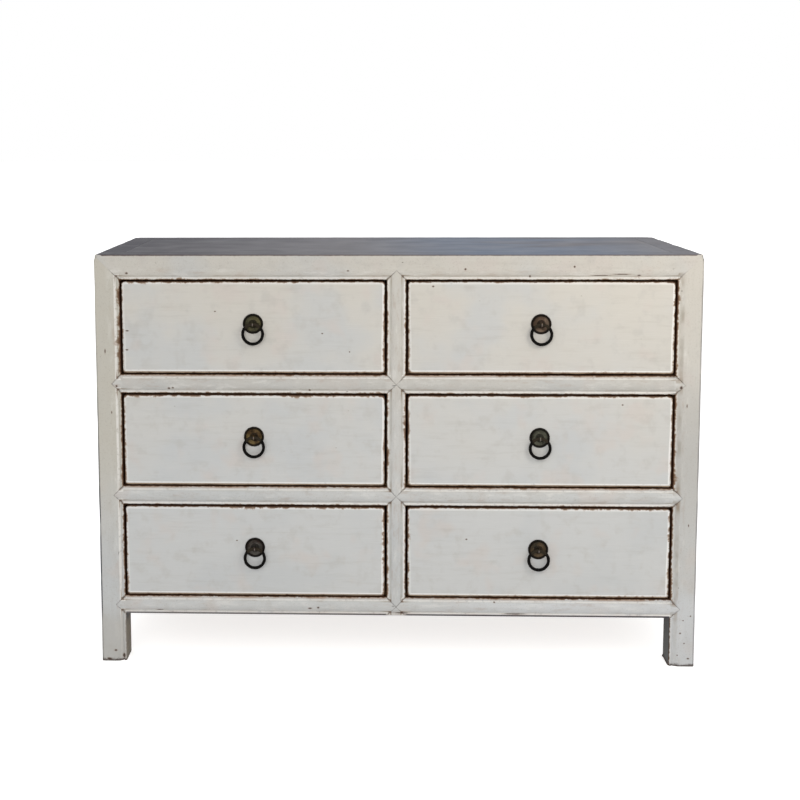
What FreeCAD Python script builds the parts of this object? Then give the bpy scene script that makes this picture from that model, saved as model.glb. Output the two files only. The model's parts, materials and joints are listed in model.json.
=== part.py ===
import FreeCAD, Part
import math
import os
import re
import Sketcher

# Six-drawer wooden chest of frame and panel joinery, in millimetres.
# The chest stands on the plane z = 0 with its drawers towards -Y, and the origin is the
# middle of its overall box on that plane. Carcass pieces are drawn in a frame whose x runs from
# the middle, y back from the front plane and z up from the floor. Drawer pieces are drawn from
# the middle of their opening's lower edge, and the pulls from the middle of their plate.

# Driving dimensions: name, value, what it is
SIZES = [
    ("width", 1220, "whole chest, left to right"),
    ("depth", 440, "whole chest, front plane to back plane"),
    ("height", 848, "whole chest, floor to top"),
    ("post", 51, "square stock of the posts and of the top rails"),
    ("rail", 39, "height of the front rails and width of the muntins"),
    ("rail_depth", 36, "front to back size of the front rails and muntins"),
    ("leg", 101, "floor to the underside of the bottom rails"),
    ("arris", 3, "rounding of the outer edges of posts and top rails"),
    ("bead", 6, "width of the bead along each drawer opening"),
    ("bead_rise", 2, "how far the bead stands out of its quirk"),
    ("mould_drop", 4.6, "depth of the quirk behind the crest of the moulding"),
    ("mitre_depth", 12, "thickness of the mitred front layer of the rails and muntins"),
    ("mitre_neck", 1, "wood left between two facing mitred notches"),
    ("tenon_thick", 12, "thickness of the frame tenons"),
    ("shoulder", 6, "shoulder beside a frame tenon"),
    ("joint_gap", 1, "spare depth at the bottom of mortises and grooves"),
    ("rail_tenon", 30, "length of the front rails' tenons"),
    ("muntin_tenon", 14, "length of the muntins' tenons"),
    ("side_tenon", 20, "length of the tenons of the lower side and back rails"),
    ("corner_inset", 10, "corner tenon to the inner face of its post"),
    ("corner_tenon", 11, "width of a corner tenon along its rail"),
    ("corner_cheek", 16, "outer face of a rail to its corner tenon"),
    ("corner_thick", 9, "thickness of a corner tenon"),
    ("corner_cover", 16, "wood of the top rail above a corner tenon"),
    ("tongue", 7, "how far a panel enters its grooves"),
    ("top_thick", 14, "thickness of the top panel"),
    ("tongue_thick", 6, "thickness of the top panel's tongue"),
    ("panel_gap", 0.5, "seam round the top panel and beside the drawer bottoms"),
    ("batten", 32, "width of the battens under the top"),
    ("batten_depth", 24, "height of the battens below the top panel"),
    ("batten_key", 4, "height of a batten's dovetail key"),
    ("batten_flare", 2, "undercut on each side of a batten's key"),
    ("batten_shoulder", 6, "batten's side to its key and its tenons"),
    ("batten_tenon", 12, "length of the battens' tenons"),
    ("side_rail", 30, "thickness of the lower side rails"),
    ("side_recess", 10, "side panels' set-back from the posts' outer face"),
    ("side_thick", 12, "thickness of the side panels"),
    ("back_rail", 28, "thickness of the lower back rail and the back stile"),
    ("back_recess", 8, "back panels' set-back from the back plane"),
    ("back_thick", 10, "thickness of the back panels"),
    ("stile", 60, "width of the back stile"),
    ("bearer_thick", 18, "thickness of the drawer bearers"),
    ("bearer_lap", 24, "how far a bearer reaches under a drawer"),
    ("bearer_stub", 8, "depth of a bearer's housing"),
    ("stub_inset", 3, "bearer's edge to its stub tenon in a post"),
    ("guide_height", 20, "height of the drawer guides"),
    ("stop_size", 14, "drawer stop, along and across"),
    ("stop_inset", 3, "drawer stop to the drawer guide"),
    ("front_thick", 20, "thickness of the drawer fronts"),
    ("front_gap", 3, "gap above and below a drawer front"),
    ("side_gap", 3.6, "gap on each side of a drawer front"),
    ("front_recess", 1.2, "drawer fronts' set-back from the front plane"),
    ("front_round", 2, "rounding of the drawer fronts' edges"),
    ("front_lap", 6, "wood of the drawer front in front of the dovetails"),
    ("run_gap", 0.3, "gap under the drawer sides and before the stops"),
    ("drawer_space", 58, "back of a drawer to the back plane"),
    ("drawer_side", 12, "thickness of the drawer sides"),
    ("drawer_back", 12, "thickness of the drawer backs"),
    ("side_clear", 8, "top of a drawer side to the top of its opening"),
    ("back_drop", 5, "top of a drawer back below the drawer sides"),
    ("bottom_lift", 10, "drawer bottom above the bearers"),
    ("bottom_thick", 9, "thickness of the drawer bottoms"),
    ("bottom_tongue", 5, "how far a drawer bottom enters its grooves"),
    ("tail_flare", 1.8, "flare on each side of a dovetail"),
    ("pull_lift", 8, "pull above the middle of its opening"),
    ("plate_radius", 20.5, "radius of the pull's round plate"),
    ("plate_thick", 1.4, "thickness of the plate"),
    ("rim", 4.2, "width of the raised rim of the plate"),
    ("rim_rise", 1.1, "height of the rim above the plate"),
    ("boss_radius", 8, "radius of the boss in the middle of the plate"),
    ("boss_flat", 1.6, "flat ring round the hole of the boss"),
    ("boss_rise", 1.7, "height of the boss above the plate"),
    ("pin_wire", 2.4, "wire of the split pin"),
    ("pin_spread", 2.5, "distance between the two legs of the split pin"),
    ("pin_hole", 6.4, "hole for the split pin in the plate and the drawer front"),
    ("pin_neck", 2, "radius of the bends where the legs meet the eye"),
    ("pin_bend", 1.9, "radius of the bends behind the drawer front"),
    ("pin_tail", 12, "length of the clinched ends of the split pin"),
    ("eye_gap", 0.3, "gap between the eye of the split pin and the ring"),
    ("ring_radius", 20, "middle radius of the pull's ring"),
    ("ring_wire", 6.5, "thickness of the ring"),
    ("ring_stand", 9, "drawer front to the middle of the ring's wire"),
    ("overrun", 5, "how far every cut runs past the wood"),
]

# Shares of the height that the dovetails of one corner fill, and how many there are
TAIL_SHARE = 0.5
TAILS = 3
# Places of the battens under the top, as shares of the clear width between the posts
BATTEN_SHARES = [-0.3, 0, 0.3]
ROWS = ["bottom", "middle", "top"]

# Places and sizes worked out from the driving dimensions
PLACES = {
    "half_width": "width / 2",
    "post_inner": "half_width - post",
    "half_rail": "rail / 2",
    "half_neck": "mitre_neck / 2",
    "groove": "tongue + joint_gap",
    "top_low": "height - post",
    "rail_top": "leg + rail",
    "opening_height": "(top_low - leg - 3 * rail) / 3",
    "opening_width": "(width - 2 * post - rail) / 2",
    "opening_x": "(opening_width + rail) / 2",
    "row_step": "opening_height + rail",
    "tenon_back": "mitre_depth + tenon_thick",
    "bead_radius": "(bead * bead / 4 + bead_rise * bead_rise) / (2 * bead_rise)",
    "crown_run": "half_rail - bead",
    "crown_radius": "(crown_run * crown_run + mould_drop * mould_drop) / (2 * mould_drop)",
    "point": "half_rail - half_neck",
    "panel_low": "height - top_thick",
    "side_inner": "half_width - side_rail",
    "side_cheek": "(side_rail - tenon_thick) / 2",
    "side_tenon_top": "rail_top - groove - shoulder",
    "back_cheek": "(back_rail - tenon_thick) / 2",
    "stile_half": "stile / 2",
    "stile_tenon": "stile_half - tongue - shoulder",
    "batten_low": "panel_low - batten_depth",
    "batten_core": "batten / 2 - batten_shoulder",
    "half_front": "opening_width / 2 - side_gap",
    "half_inside": "half_front - drawer_side",
    "drawer_length": "depth - front_recess - drawer_space",
    "drawer_rear": "drawer_length - drawer_back",
    "side_top": "opening_height - side_clear",
    "back_top": "side_top - back_drop",
    "bottom_top": "bottom_lift + bottom_thick",
    "bottom_groove": "half_inside + bottom_tongue + panel_gap",
    "eye_radius": "ring_wire / 2 + eye_gap + pin_wire / 2",
    "pull_reach": "ring_stand + eye_radius + pin_wire / 2 - front_recess",
    "front_plane": "-(depth - pull_reach) / 2",
    "pull_z": "opening_height / 2 + pull_lift",
    "half_spread": "pin_spread / 2",
    "neck_rise": "half_spread + pin_neck",
    "neck_reach": "sqrt((eye_radius + pin_neck)^2 - neck_rise * neck_rise)",
    "neck_share": "eye_radius / (eye_radius + pin_neck)",
    "tail_y": "front_thick + pin_wire / 2",
    "rim_radius": "(rim * rim / 4 + rim_rise * rim_rise) / (2 * rim_rise)",
    "boss_slope": "boss_radius - pin_hole / 2 - boss_flat",
    "boss_round": "(boss_slope * boss_slope + boss_rise * boss_rise) / (2 * boss_rise)",
}

doc = FreeCAD.newDocument("chest")
sheet = doc.addObject("Spreadsheet::Sheet", "Sizes")
for row, (alias, size, meaning) in enumerate(SIZES, start=1):
    sheet.set(f"A{row}", meaning)
    sheet.set(f"B{row}", str(size))
    sheet.setAlias(f"B{row}", alias)
doc.recompute()

ALIASES = {alias for alias, size, meaning in SIZES}
nodes = []


def formula(text):
    """The expression for a text written in the names above."""
    def full(match):
        word = match.group(0)
        if word in PLACES:
            return f"({formula(PLACES[word])})"
        return f"Sizes.{word}" if word in ALIASES else word
    return re.sub(r"[a-z][a-z_]*", full, text)


def value(text):
    return float(sheet.evalExpression(formula(text)))


def bind(thing, path, text):
    thing.setExpression(path, formula(text))


def place(thing, x, y, z):
    bind(thing, "Placement.Base.x", x)
    bind(thing, "Placement.Base.y", y)
    bind(thing, "Placement.Base.z", z)


def new_body(name, x="0", y="front_plane", z="0"):
    body = doc.addObject("PartDesign::Body", name)
    body.AllowCompound = True
    place(body, x, y, z)
    return body


def node(thing, name):
    """Name a finished sub-part, which is then written under that name."""
    thing.Label = name
    nodes.append(thing)
    return thing


def group(name, things):
    """One node that holds several like pieces."""
    compound = doc.addObject("Part::Compound", name)
    compound.Links = things
    return node(compound, name)


def mirrored(source, name):
    """The right-hand partner of a left-hand piece."""
    mirror = doc.addObject("Part::Mirroring", name)
    mirror.Source = source
    mirror.Base = FreeCAD.Vector(0, 0, 0)
    mirror.Normal = FreeCAD.Vector(1, 0, 0)
    return node(mirror, name)


def lifted(source, name, row):
    """The same piece in a higher row of drawers."""
    copy = doc.addObject("Part::Compound", name)
    copy.Links = [source]
    bind(copy, "Placement.Base.z", f"{row} * row_step")
    return node(copy, name)


# Sketches: a loop is a list of corners, each two formulas, and where the edge that leaves the
# corner is an arc, its radius and 1 for anticlockwise or -1 for clockwise

def arc(start, end, radius, turn):
    run = (end[0] - start[0], end[1] - start[1])
    chord = math.hypot(*run)
    rise = turn * math.sqrt(max(radius * radius - chord * chord / 4, 0)) / chord
    centre_x = (start[0] + end[0]) / 2 - run[1] * rise
    centre_y = (start[1] + end[1]) / 2 + run[0] * rise
    angles = [math.atan2(spot[1] - centre_y, spot[0] - centre_x) for spot in (start, end)]
    circle = Part.Circle(FreeCAD.Vector(centre_x, centre_y, 0), FreeCAD.Vector(0, 0, 1), radius)
    return Part.ArcOfCircle(circle, *angles[::turn])


def draw_loop(sketch, loop, closed):
    corners = [(value(corner[0]), value(corner[1])) for corner in loop]
    edges = len(loop) if closed else len(loop) - 1
    first = sketch.GeometryCount
    shapes = []
    ends = []
    for i in range(edges):
        start = corners[i]
        end = corners[(i + 1) % len(loop)]
        if len(loop[i]) > 2:
            shapes.append(arc(start, end, value(loop[i][2]), loop[i][3]))
            ends.append((1, 2) if loop[i][3] > 0 else (2, 1))
        else:
            shapes.append(Part.LineSegment(FreeCAD.Vector(*start, 0), FreeCAD.Vector(*end, 0)))
            ends.append((1, 2))
    sketch.addGeometry(shapes, False)
    constraints = []
    for i in range(edges if closed else edges - 1):
        follower = (i + 1) % edges
        constraints.append(Sketcher.Constraint(
            "Coincident", first + i, ends[i][1], first + follower, ends[follower][0]))
    texts = {}
    for i, corner in enumerate(loop):
        edge = min(i, edges - 1)
        spot = ends[edge][0] if i < edges else ends[edge][1]
        for kind, text, number in (("DistanceX", corner[0], corners[i][0]),
                                   ("DistanceY", corner[1], corners[i][1])):
            constraint = Sketcher.Constraint(kind, -1, 1, first + edge, spot, number)
            constraint.Name = f"{kind}_{first + i}"
            texts[constraint.Name] = text
            constraints.append(constraint)
        if len(corner) > 2:
            constraint = Sketcher.Constraint("Radius", first + i, value(corner[2]))
            constraint.Name = f"Radius_{first + i}"
            texts[constraint.Name] = corner[2]
            constraints.append(constraint)
    sketch.addConstraint(constraints)
    for name, text in texts.items():
        bind(sketch, f"Constraints.{name}", text)


def new_sketch(body, name, plane, level="0"):
    sketch = body.newObject("Sketcher::SketchObject", name)
    origin = [item for item in body.Origin.OriginFeatures if item.Role == plane][0]
    sketch.AttachmentSupport = [(origin, "")]
    sketch.MapMode = "FlatFace"
    bind(sketch, "AttachmentOffset.Base.z", level)
    return sketch


def draw(body, name, plane, loops, level="0", closed=True):
    sketch = new_sketch(body, name, plane, level)
    for loop in loops:
        draw_loop(sketch, loop, closed)
    return sketch


def draw_circle(body, name, plane, u, v, radius, level="0"):
    sketch = new_sketch(body, name, plane, level)
    centre = FreeCAD.Vector(value(u), value(v), 0)
    edge = sketch.addGeometry(Part.Circle(centre, FreeCAD.Vector(0, 0, 1), value(radius)), False)
    for name, constraint, text in (
            ("across", Sketcher.Constraint("DistanceX", -1, 1, edge, 3, centre.x), u),
            ("up", Sketcher.Constraint("DistanceY", -1, 1, edge, 3, centre.y), v),
            ("radius", Sketcher.Constraint("Radius", edge, value(radius)), radius)):
        constraint.Name = name
        sketch.addConstraint(constraint)
        bind(sketch, f"Constraints.{name}", text)
    return sketch


# The XZ plane faces -Y, so its sketches are lifted the other way
def add(body, name, plane, loops, low, high):
    """Wood inside the loops, from low to high along the axis that the plane lacks."""
    level = f"-({high})" if plane == "XZ_Plane" else low
    pad = body.newObject("PartDesign::Pad", name)
    pad.Profile = draw(body, f"{name}_outline", plane, loops, level)
    bind(pad, "Length", f"{high} - ({low})")
    return pad


def cut_sketch(body, name, sketch, low, high):
    pocket = body.newObject("PartDesign::Pocket", name)
    pocket.Profile = sketch
    bind(pocket, "Length", f"{high} - ({low})")
    return pocket


def cut(body, name, plane, loops, low, high):
    """Take away the wood inside the loops, from low to high."""
    level = f"-({low})" if plane == "XZ_Plane" else high
    return cut_sketch(body, name, draw(body, f"{name}_outline", plane, loops, level), low, high)


def rectangle(u_low, u_high, v_low, v_high):
    return [(u_low, v_low), (u_high, v_low), (u_high, v_high), (u_low, v_high)]


def both_sides(loop):
    """A loop on the right-hand side, and its mirror image on the left."""
    return [loop, [(f"-({corner[0]})", corner[1]) for corner in loop]]


def level_of(row):
    return f"rail_top + {row} * row_step"


# Moulded front members

def pointed_bar(body, along, low, high, tenon):
    """A moulded bar along x or z, whose front layer ends in points and whose back in tenons."""
    def seen(length, across):
        return (length, across) if along == "x" else (across, length)

    def crossed(y, across, *bend):
        return (y, across, *bend) if along == "x" else (across, y, *bend)

    turn = -1 if along == "x" else 1
    section = [
        crossed("rail_depth", "-half_rail"),
        crossed("mould_drop", "-half_rail", "bead_radius", turn),
        crossed("mould_drop", "-half_rail + bead", "crown_radius", turn),
        crossed("0", "0", "crown_radius", turn),
        crossed("mould_drop", "half_rail - bead", "bead_radius", turn),
        crossed("mould_drop", "half_rail"),
        crossed("rail_depth", "half_rail"),
    ]
    section_plane = "YZ_Plane" if along == "x" else "XY_Plane"
    add(body, "bar", section_plane, [section], f"{low} - point", f"{high} + point")
    waste = []
    behind = []
    tenons = []
    for end, away in ((low, "-"), (high, "+")):
        for side in ("-", ""):
            waste.append([
                seen(end, f"{side}half_rail"),
                seen(f"{end} {away} point", f"{side}half_neck"),
                seen(f"{end} {away} (point + overrun)", f"{side}half_neck"),
                seen(f"{end} {away} (point + overrun)", f"{side}(half_rail + overrun)"),
                seen(end, f"{side}(half_rail + overrun)"),
            ])
        behind.append([
            seen(end, "-half_rail - overrun"),
            seen(f"{end} {away} (point + overrun)", "-half_rail - overrun"),
            seen(f"{end} {away} (point + overrun)", "half_rail + overrun"),
            seen(end, "half_rail + overrun"),
        ])
        tenons.append([
            seen(end, "-half_rail + shoulder"),
            seen(f"{end} {away} {tenon}", "-half_rail + shoulder"),
            seen(f"{end} {away} {tenon}", "half_rail - shoulder"),
            seen(end, "half_rail - shoulder"),
        ])
    cut(body, "points", "XZ_Plane", waste, "-overrun", "mitre_depth")
    cut(body, "shoulders", "XZ_Plane", behind, "mitre_depth", "rail_depth + overrun")
    add(body, "tenons", "XZ_Plane", tenons, "mitre_depth", "tenon_back")


def muntin_notch(edge, into):
    """Front notch for a muntin's point, into is + for a rail above the muntin."""
    out = "-" if into == "+" else "+"
    return [("-half_rail", f"{edge} {out} overrun"), ("-half_rail", edge),
            ("-half_neck", f"{edge} {into} point"), ("half_neck", f"{edge} {into} point"),
            ("half_rail", edge), ("half_rail", f"{edge} {out} overrun")]


def muntin_mortise(edge, into):
    out = "-" if into == "+" else "+"
    return [("-half_rail + shoulder", f"{edge} {out} overrun"),
            ("half_rail - shoulder", f"{edge} {out} overrun"),
            ("half_rail - shoulder", f"{edge} {into} (muntin_tenon + joint_gap)"),
            ("-half_rail + shoulder", f"{edge} {into} (muntin_tenon + joint_gap)")]


def make_front_rail(name, row):
    body = new_body(name, z=f"{level_of(row)} - half_rail")
    pointed_bar(body, "x", "-post_inner", "post_inner", "rail_tenon")
    edges = [("half_rail", "-")] if row == 0 else [("half_rail", "-"), ("-half_rail", "+")]
    notches = [muntin_notch(edge, into) for edge, into in edges]
    mortises = [muntin_mortise(edge, into) for edge, into in edges]
    cut(body, "notches", "XZ_Plane", notches, "-overrun", "mitre_depth")
    cut(body, "mortises", "XZ_Plane", mortises, "mitre_depth", "tenon_back")
    seats = both_sides(rectangle("post_inner - bearer_lap", "post_inner",
                                 "half_rail - bearer_thick", "half_rail + overrun"))
    seats.append(rectangle("-half_rail - bearer_lap", "half_rail + bearer_lap",
                           "half_rail - bearer_thick", "half_rail + overrun"))
    cut(body, "bearer_seats", "XZ_Plane", seats, "rail_depth - bearer_stub", "rail_depth + overrun")
    return node(body, name)


def make_muntin(row):
    body = new_body(f"muntin_{ROWS[row]}", z=level_of(row))
    pointed_bar(body, "z", "0", "opening_height", "muntin_tenon")
    return body


# Corners of the top frame: post, front or back rail and side rail meet in three mitre planes

def from_front(y):
    return y


def from_back(y):
    return f"depth - ({y})"


def y_span(side, low, high):
    """A range of y measured from the front or the back plane, lowest first."""
    return (side(low), side(high)) if side is from_front else (side(high), side(low))


def corner_tenons(side):
    """Left corner: the tenon into the front or back rail, and the one into the side rail."""
    across = rectangle("-post_inner - corner_inset - corner_tenon", "-post_inner - corner_inset",
                       *y_span(side, "corner_cheek", "corner_cheek + corner_thick"))
    along = rectangle("-half_width + corner_cheek", "-half_width + corner_cheek + corner_thick",
                      *y_span(side, "post - corner_inset - corner_tenon", "post - corner_inset"))
    return across, along


def top_mitre(side):
    """Seen from above, what lies on the side rail's side of the left corner's mitre."""
    return [("-half_width - overrun", side("-overrun")), ("-post_inner", side("post")),
            ("-post_inner", side("post + overrun")), ("-half_width - overrun", side("post + overrun"))]


def make_post(name, side):
    """A left-hand post with its mitred head, mortises and panel grooves."""
    body = new_body(name)
    if side is from_front:
        section = [
            ("-half_width", "post"),
            ("-half_width", "arris", "arris", 1),
            ("-half_width + arris", "0"),
            ("-post_inner - half_rail", "0", "crown_radius", 1),
            ("-post_inner - bead", "mould_drop", "bead_radius", 1),
            ("-post_inner", "mould_drop"),
            ("-post_inner", "post"),
        ]
    else:
        section = [
            ("-half_width", "depth - post"),
            ("-half_width", "depth - arris", "arris", -1),
            ("-half_width + arris", "depth"),
            ("-post_inner", "depth"),
            ("-post_inner", "depth - post"),
        ]
    add(body, "bar", "XY_Plane", [section], "0", "height")
    front_mitre = [("-half_width - overrun", "height + overrun"), ("-post_inner", "top_low"),
                   ("-post_inner + overrun", "top_low"), ("-post_inner + overrun", "height + overrun")]
    cut(body, "front_mitre", "XZ_Plane", [front_mitre],
        *y_span(side, "-overrun", "post + overrun"))
    side_mitre = [(side("-overrun"), "height + overrun"), (side("post"), "top_low"),
                  (side("post + overrun"), "top_low"), (side("post + overrun"), "height + overrun")]
    cut(body, "side_mitre", "YZ_Plane", [side_mitre],
        "-half_width - overrun", "-post_inner + overrun")
    add(body, "corner_tenons", "XY_Plane", corner_tenons(side), "top_low", "height - corner_cover")
    side_mortise = rectangle("-half_width + side_cheek", "-half_width + side_cheek + tenon_thick",
                             "leg + shoulder", "side_tenon_top")
    cut(body, "side_mortise", "XZ_Plane", [side_mortise],
        *y_span(side, "post - side_tenon - joint_gap", "post + overrun"))
    panel_groove = rectangle("-half_width + side_recess", "-half_width + side_recess + side_thick",
                             "rail_top - groove", "top_low + groove")
    cut(body, "panel_groove", "XZ_Plane", [panel_groove],
        *y_span(side, "post - groove", "post + overrun"))
    stubs = [rectangle("-side_inner + stub_inset", "-post_inner - stub_inset",
                       f"{level_of(row)} - bearer_thick", level_of(row)) for row in range(len(ROWS))]
    cut(body, "bearer_mortises", "XZ_Plane", stubs,
        *y_span(side, "post - bearer_stub - joint_gap", "post + overrun"))
    if side is from_front:
        cut_front_joints(body)
    else:
        cut_back_joints(body)
    return node(body, name)


def cut_front_joints(body):
    notches = []
    mortises = []
    for row in range(len(ROWS)):
        top = level_of(row)
        low = f"{top} - rail"
        middle = f"{top} - half_rail"
        notches.append([
            ("-post_inner + overrun", low), ("-post_inner", low),
            ("-post_inner - point", f"{middle} - half_neck"),
            ("-post_inner - point", f"{middle} + half_neck"),
            ("-post_inner", top), ("-post_inner + overrun", top)])
        mortises.append(rectangle("-post_inner - rail_tenon - joint_gap", "-post_inner + overrun",
                                  f"{low} + shoulder", f"{top} - shoulder"))
    cut(body, "notches", "XZ_Plane", notches, "-overrun", "mitre_depth")
    cut(body, "rail_mortises", "XZ_Plane", mortises, "mitre_depth", "tenon_back")


def cut_back_joints(body):
    mortise = rectangle("-post_inner - side_tenon - joint_gap", "-post_inner + overrun",
                        "leg + shoulder", "side_tenon_top")
    cut(body, "back_mortise", "XZ_Plane", [mortise],
        "depth - back_cheek - tenon_thick", "depth - back_cheek")
    groove = rectangle("-post_inner - groove", "-post_inner + overrun",
                       "rail_top - groove", "top_low + groove")
    cut(body, "back_groove", "XZ_Plane", [groove],
        "depth - back_recess - back_thick", "depth - back_recess")


def cut_long_top_rail(body, side):
    """Mitres, mortises and grooves that the front and the back top rail share."""
    lower_left = [("-half_width - overrun", "height + overrun"), ("-post_inner", "top_low"),
                  ("-post_inner", "top_low - overrun"), ("-half_width - overrun", "top_low - overrun")]
    cut(body, "post_mitres", "XZ_Plane", both_sides(lower_left),
        *y_span(side, "-overrun", "post + overrun"))
    cut(body, "side_mitres", "XY_Plane", both_sides(top_mitre(side)),
        "top_low - overrun", "height + overrun")
    cut(body, "post_mortises", "XY_Plane", both_sides(corner_tenons(side)[0]),
        "top_low - overrun", "height - corner_cover + joint_gap")
    groove = rectangle("-post_inner - groove", "post_inner + groove",
                       "panel_low", "panel_low + tongue_thick")
    cut(body, "panel_groove", "XZ_Plane", [groove],
        *y_span(side, "post - groove", "post + overrun"))
    seats = [rectangle(f"{share} * 2 * post_inner - batten_core", f"{share} * 2 * post_inner + batten_core",
                       "batten_low + batten_shoulder", "panel_low - batten_shoulder")
             for share in BATTEN_SHARES]
    cut(body, "batten_mortises", "XZ_Plane", seats,
        *y_span(side, "post - batten_tenon - joint_gap", "post + overrun"))


def make_top_rail_front():
    body = new_body("top_rail_front")
    section = [
        ("post", "top_low"),
        ("mould_drop", "top_low", "bead_radius", -1),
        ("mould_drop", "top_low + bead", "crown_radius", -1),
        ("0", "top_low + half_rail"),
        ("0", "height - arris", "arris", -1),
        ("arris", "height"),
        ("post", "height"),
    ]
    add(body, "bar", "YZ_Plane", [section], "-half_width", "half_width")
    cut_long_top_rail(body, from_front)
    cut(body, "notch", "XZ_Plane", [muntin_notch("top_low", "+")], "-overrun", "mitre_depth")
    cut(body, "mortise", "XZ_Plane", [muntin_mortise("top_low", "+")], "mitre_depth", "tenon_back")
    return node(body, "top_rail_front")


def make_top_rail_back():
    body = new_body("top_rail_back")
    section = [
        ("depth - post", "top_low"),
        ("depth", "top_low"),
        ("depth", "height - arris", "arris", 1),
        ("depth - arris", "height"),
        ("depth - post", "height"),
    ]
    add(body, "bar", "YZ_Plane", [section], "-half_width", "half_width")
    cut_long_top_rail(body, from_back)
    groove = rectangle("-post_inner - groove", "post_inner + groove",
                       "top_low - overrun", "top_low + groove")
    cut(body, "back_groove", "XZ_Plane", [groove],
        "depth - back_recess - back_thick", "depth - back_recess")
    mortise = rectangle("-stile_tenon", "stile_tenon",
                        "top_low - overrun", "top_low + muntin_tenon + joint_gap")
    cut(body, "stile_mortise", "XZ_Plane", [mortise],
        "depth - back_cheek - tenon_thick", "depth - back_cheek")
    return node(body, "top_rail_back")


def make_top_rail_side():
    body = new_body("top_rail_left")
    section = [
        ("-half_width", "top_low"),
        ("-post_inner", "top_low"),
        ("-post_inner", "height"),
        ("-half_width + arris", "height", "arris", 1),
        ("-half_width", "height - arris"),
    ]
    add(body, "bar", "XZ_Plane", [section], "0", "depth")
    ends = []
    corners = []
    mortises = []
    for side in (from_front, from_back):
        ends.append([(side("-overrun"), "height + overrun"), (side("post"), "top_low"),
                     (side("post"), "top_low - overrun"), (side("-overrun"), "top_low - overrun")])
        corners.append([("-half_width - overrun", side("-overrun")), ("-post_inner", side("post")),
                        ("-post_inner + overrun", side("post")), ("-post_inner + overrun", side("-overrun"))])
        mortises.append(corner_tenons(side)[1])
    cut(body, "post_mitres", "YZ_Plane", ends, "-half_width - overrun", "-post_inner + overrun")
    cut(body, "rail_mitres", "XY_Plane", corners, "top_low - overrun", "height + overrun")
    cut(body, "post_mortises", "XY_Plane", mortises,
        "top_low - overrun", "height - corner_cover + joint_gap")
    top_groove = rectangle("-post_inner - groove", "-post_inner + overrun",
                           "post - groove", "depth - post + groove")
    cut(body, "top_groove", "XY_Plane", [top_groove], "panel_low", "panel_low + tongue_thick")
    side_groove = rectangle("-half_width + side_recess", "-half_width + side_recess + side_thick",
                            "post - groove", "depth - post + groove")
    cut(body, "side_groove", "XY_Plane", [side_groove], "top_low - overrun", "top_low + groove")
    return node(body, "top_rail_left")


# Panels and lower rails

def make_top_panel():
    body = new_body("top_panel")
    slab = rectangle("-post_inner + panel_gap", "post_inner - panel_gap",
                     "post + panel_gap", "depth - post - panel_gap")
    add(body, "slab", "XY_Plane", [slab], "panel_low", "height")
    edge = rectangle("-post_inner - tongue", "post_inner + tongue",
                     "post - tongue", "depth - post + tongue")
    add(body, "tongue", "XY_Plane", [edge], "panel_low", "panel_low + tongue_thick")
    keys = [[(f"{share} * 2 * post_inner - batten_core + batten_flare", "panel_low - overrun"),
             (f"{share} * 2 * post_inner + batten_core - batten_flare", "panel_low - overrun"),
             (f"{share} * 2 * post_inner + batten_core - batten_flare", "panel_low"),
             (f"{share} * 2 * post_inner + batten_core", "panel_low + batten_key"),
             (f"{share} * 2 * post_inner - batten_core", "panel_low + batten_key"),
             (f"{share} * 2 * post_inner - batten_core + batten_flare", "panel_low")]
            for share in BATTEN_SHARES]
    cut(body, "batten_keys", "XZ_Plane", keys, "post - tongue - overrun", "depth - post + tongue + overrun")
    return node(body, "top_panel")


def make_batten(number, share):
    body = new_body(f"batten_{number}", x=f"{share} * 2 * post_inner")
    section = [
        ("-batten / 2", "batten_low"),
        ("batten / 2", "batten_low"),
        ("batten / 2", "panel_low"),
        ("batten_core - batten_flare", "panel_low"),
        ("batten_core", "panel_low + batten_key"),
        ("-batten_core", "panel_low + batten_key"),
        ("-batten_core + batten_flare", "panel_low"),
        ("-batten / 2", "panel_low"),
    ]
    add(body, "bar", "XZ_Plane", [section], "post", "depth - post")
    tenon = rectangle("-batten_core", "batten_core",
                      "batten_low + batten_shoulder", "panel_low - batten_shoulder")
    add(body, "tenon_front", "XZ_Plane", [tenon], "post - batten_tenon", "post")
    add(body, "tenon_back", "XZ_Plane", [tenon], "depth - post", "depth - post + batten_tenon")
    return body


def make_side_panel():
    body = new_body("side_panel_left")
    board = rectangle("post - tongue", "depth - post + tongue",
                      "rail_top - tongue", "top_low + tongue")
    add(body, "board", "YZ_Plane", [board],
        "-half_width + side_recess", "-half_width + side_recess + side_thick")
    return node(body, "side_panel_left")


def make_bottom_rail_side():
    body = new_body("bottom_rail_left")
    bar = rectangle("post", "depth - post", "leg", "rail_top")
    add(body, "bar", "YZ_Plane", [bar], "-half_width", "-side_inner")
    tenons = rectangle("post - side_tenon", "depth - post + side_tenon", "leg + shoulder", "side_tenon_top")
    add(body, "tenons", "YZ_Plane", [tenons],
        "-half_width + side_cheek", "-half_width + side_cheek + tenon_thick")
    groove = rectangle("-half_width + side_recess", "-half_width + side_recess + side_thick",
                       "rail_top - groove", "rail_top + overrun")
    cut(body, "groove", "XZ_Plane", [groove], "post - overrun", "depth - post + overrun")
    return node(body, "bottom_rail_left")


def cut_bearer_seats(body, rows):
    """Seats for the stubs of the middle bearers in the back of the carcass."""
    seats = [rectangle("-half_rail", "half_rail", f"{level_of(row)} - bearer_thick", level_of(row))
             for row in rows]
    cut(body, "bearer_seats", "XZ_Plane", seats,
        "depth - back_rail - overrun", "depth - back_rail + bearer_stub + joint_gap")


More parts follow.
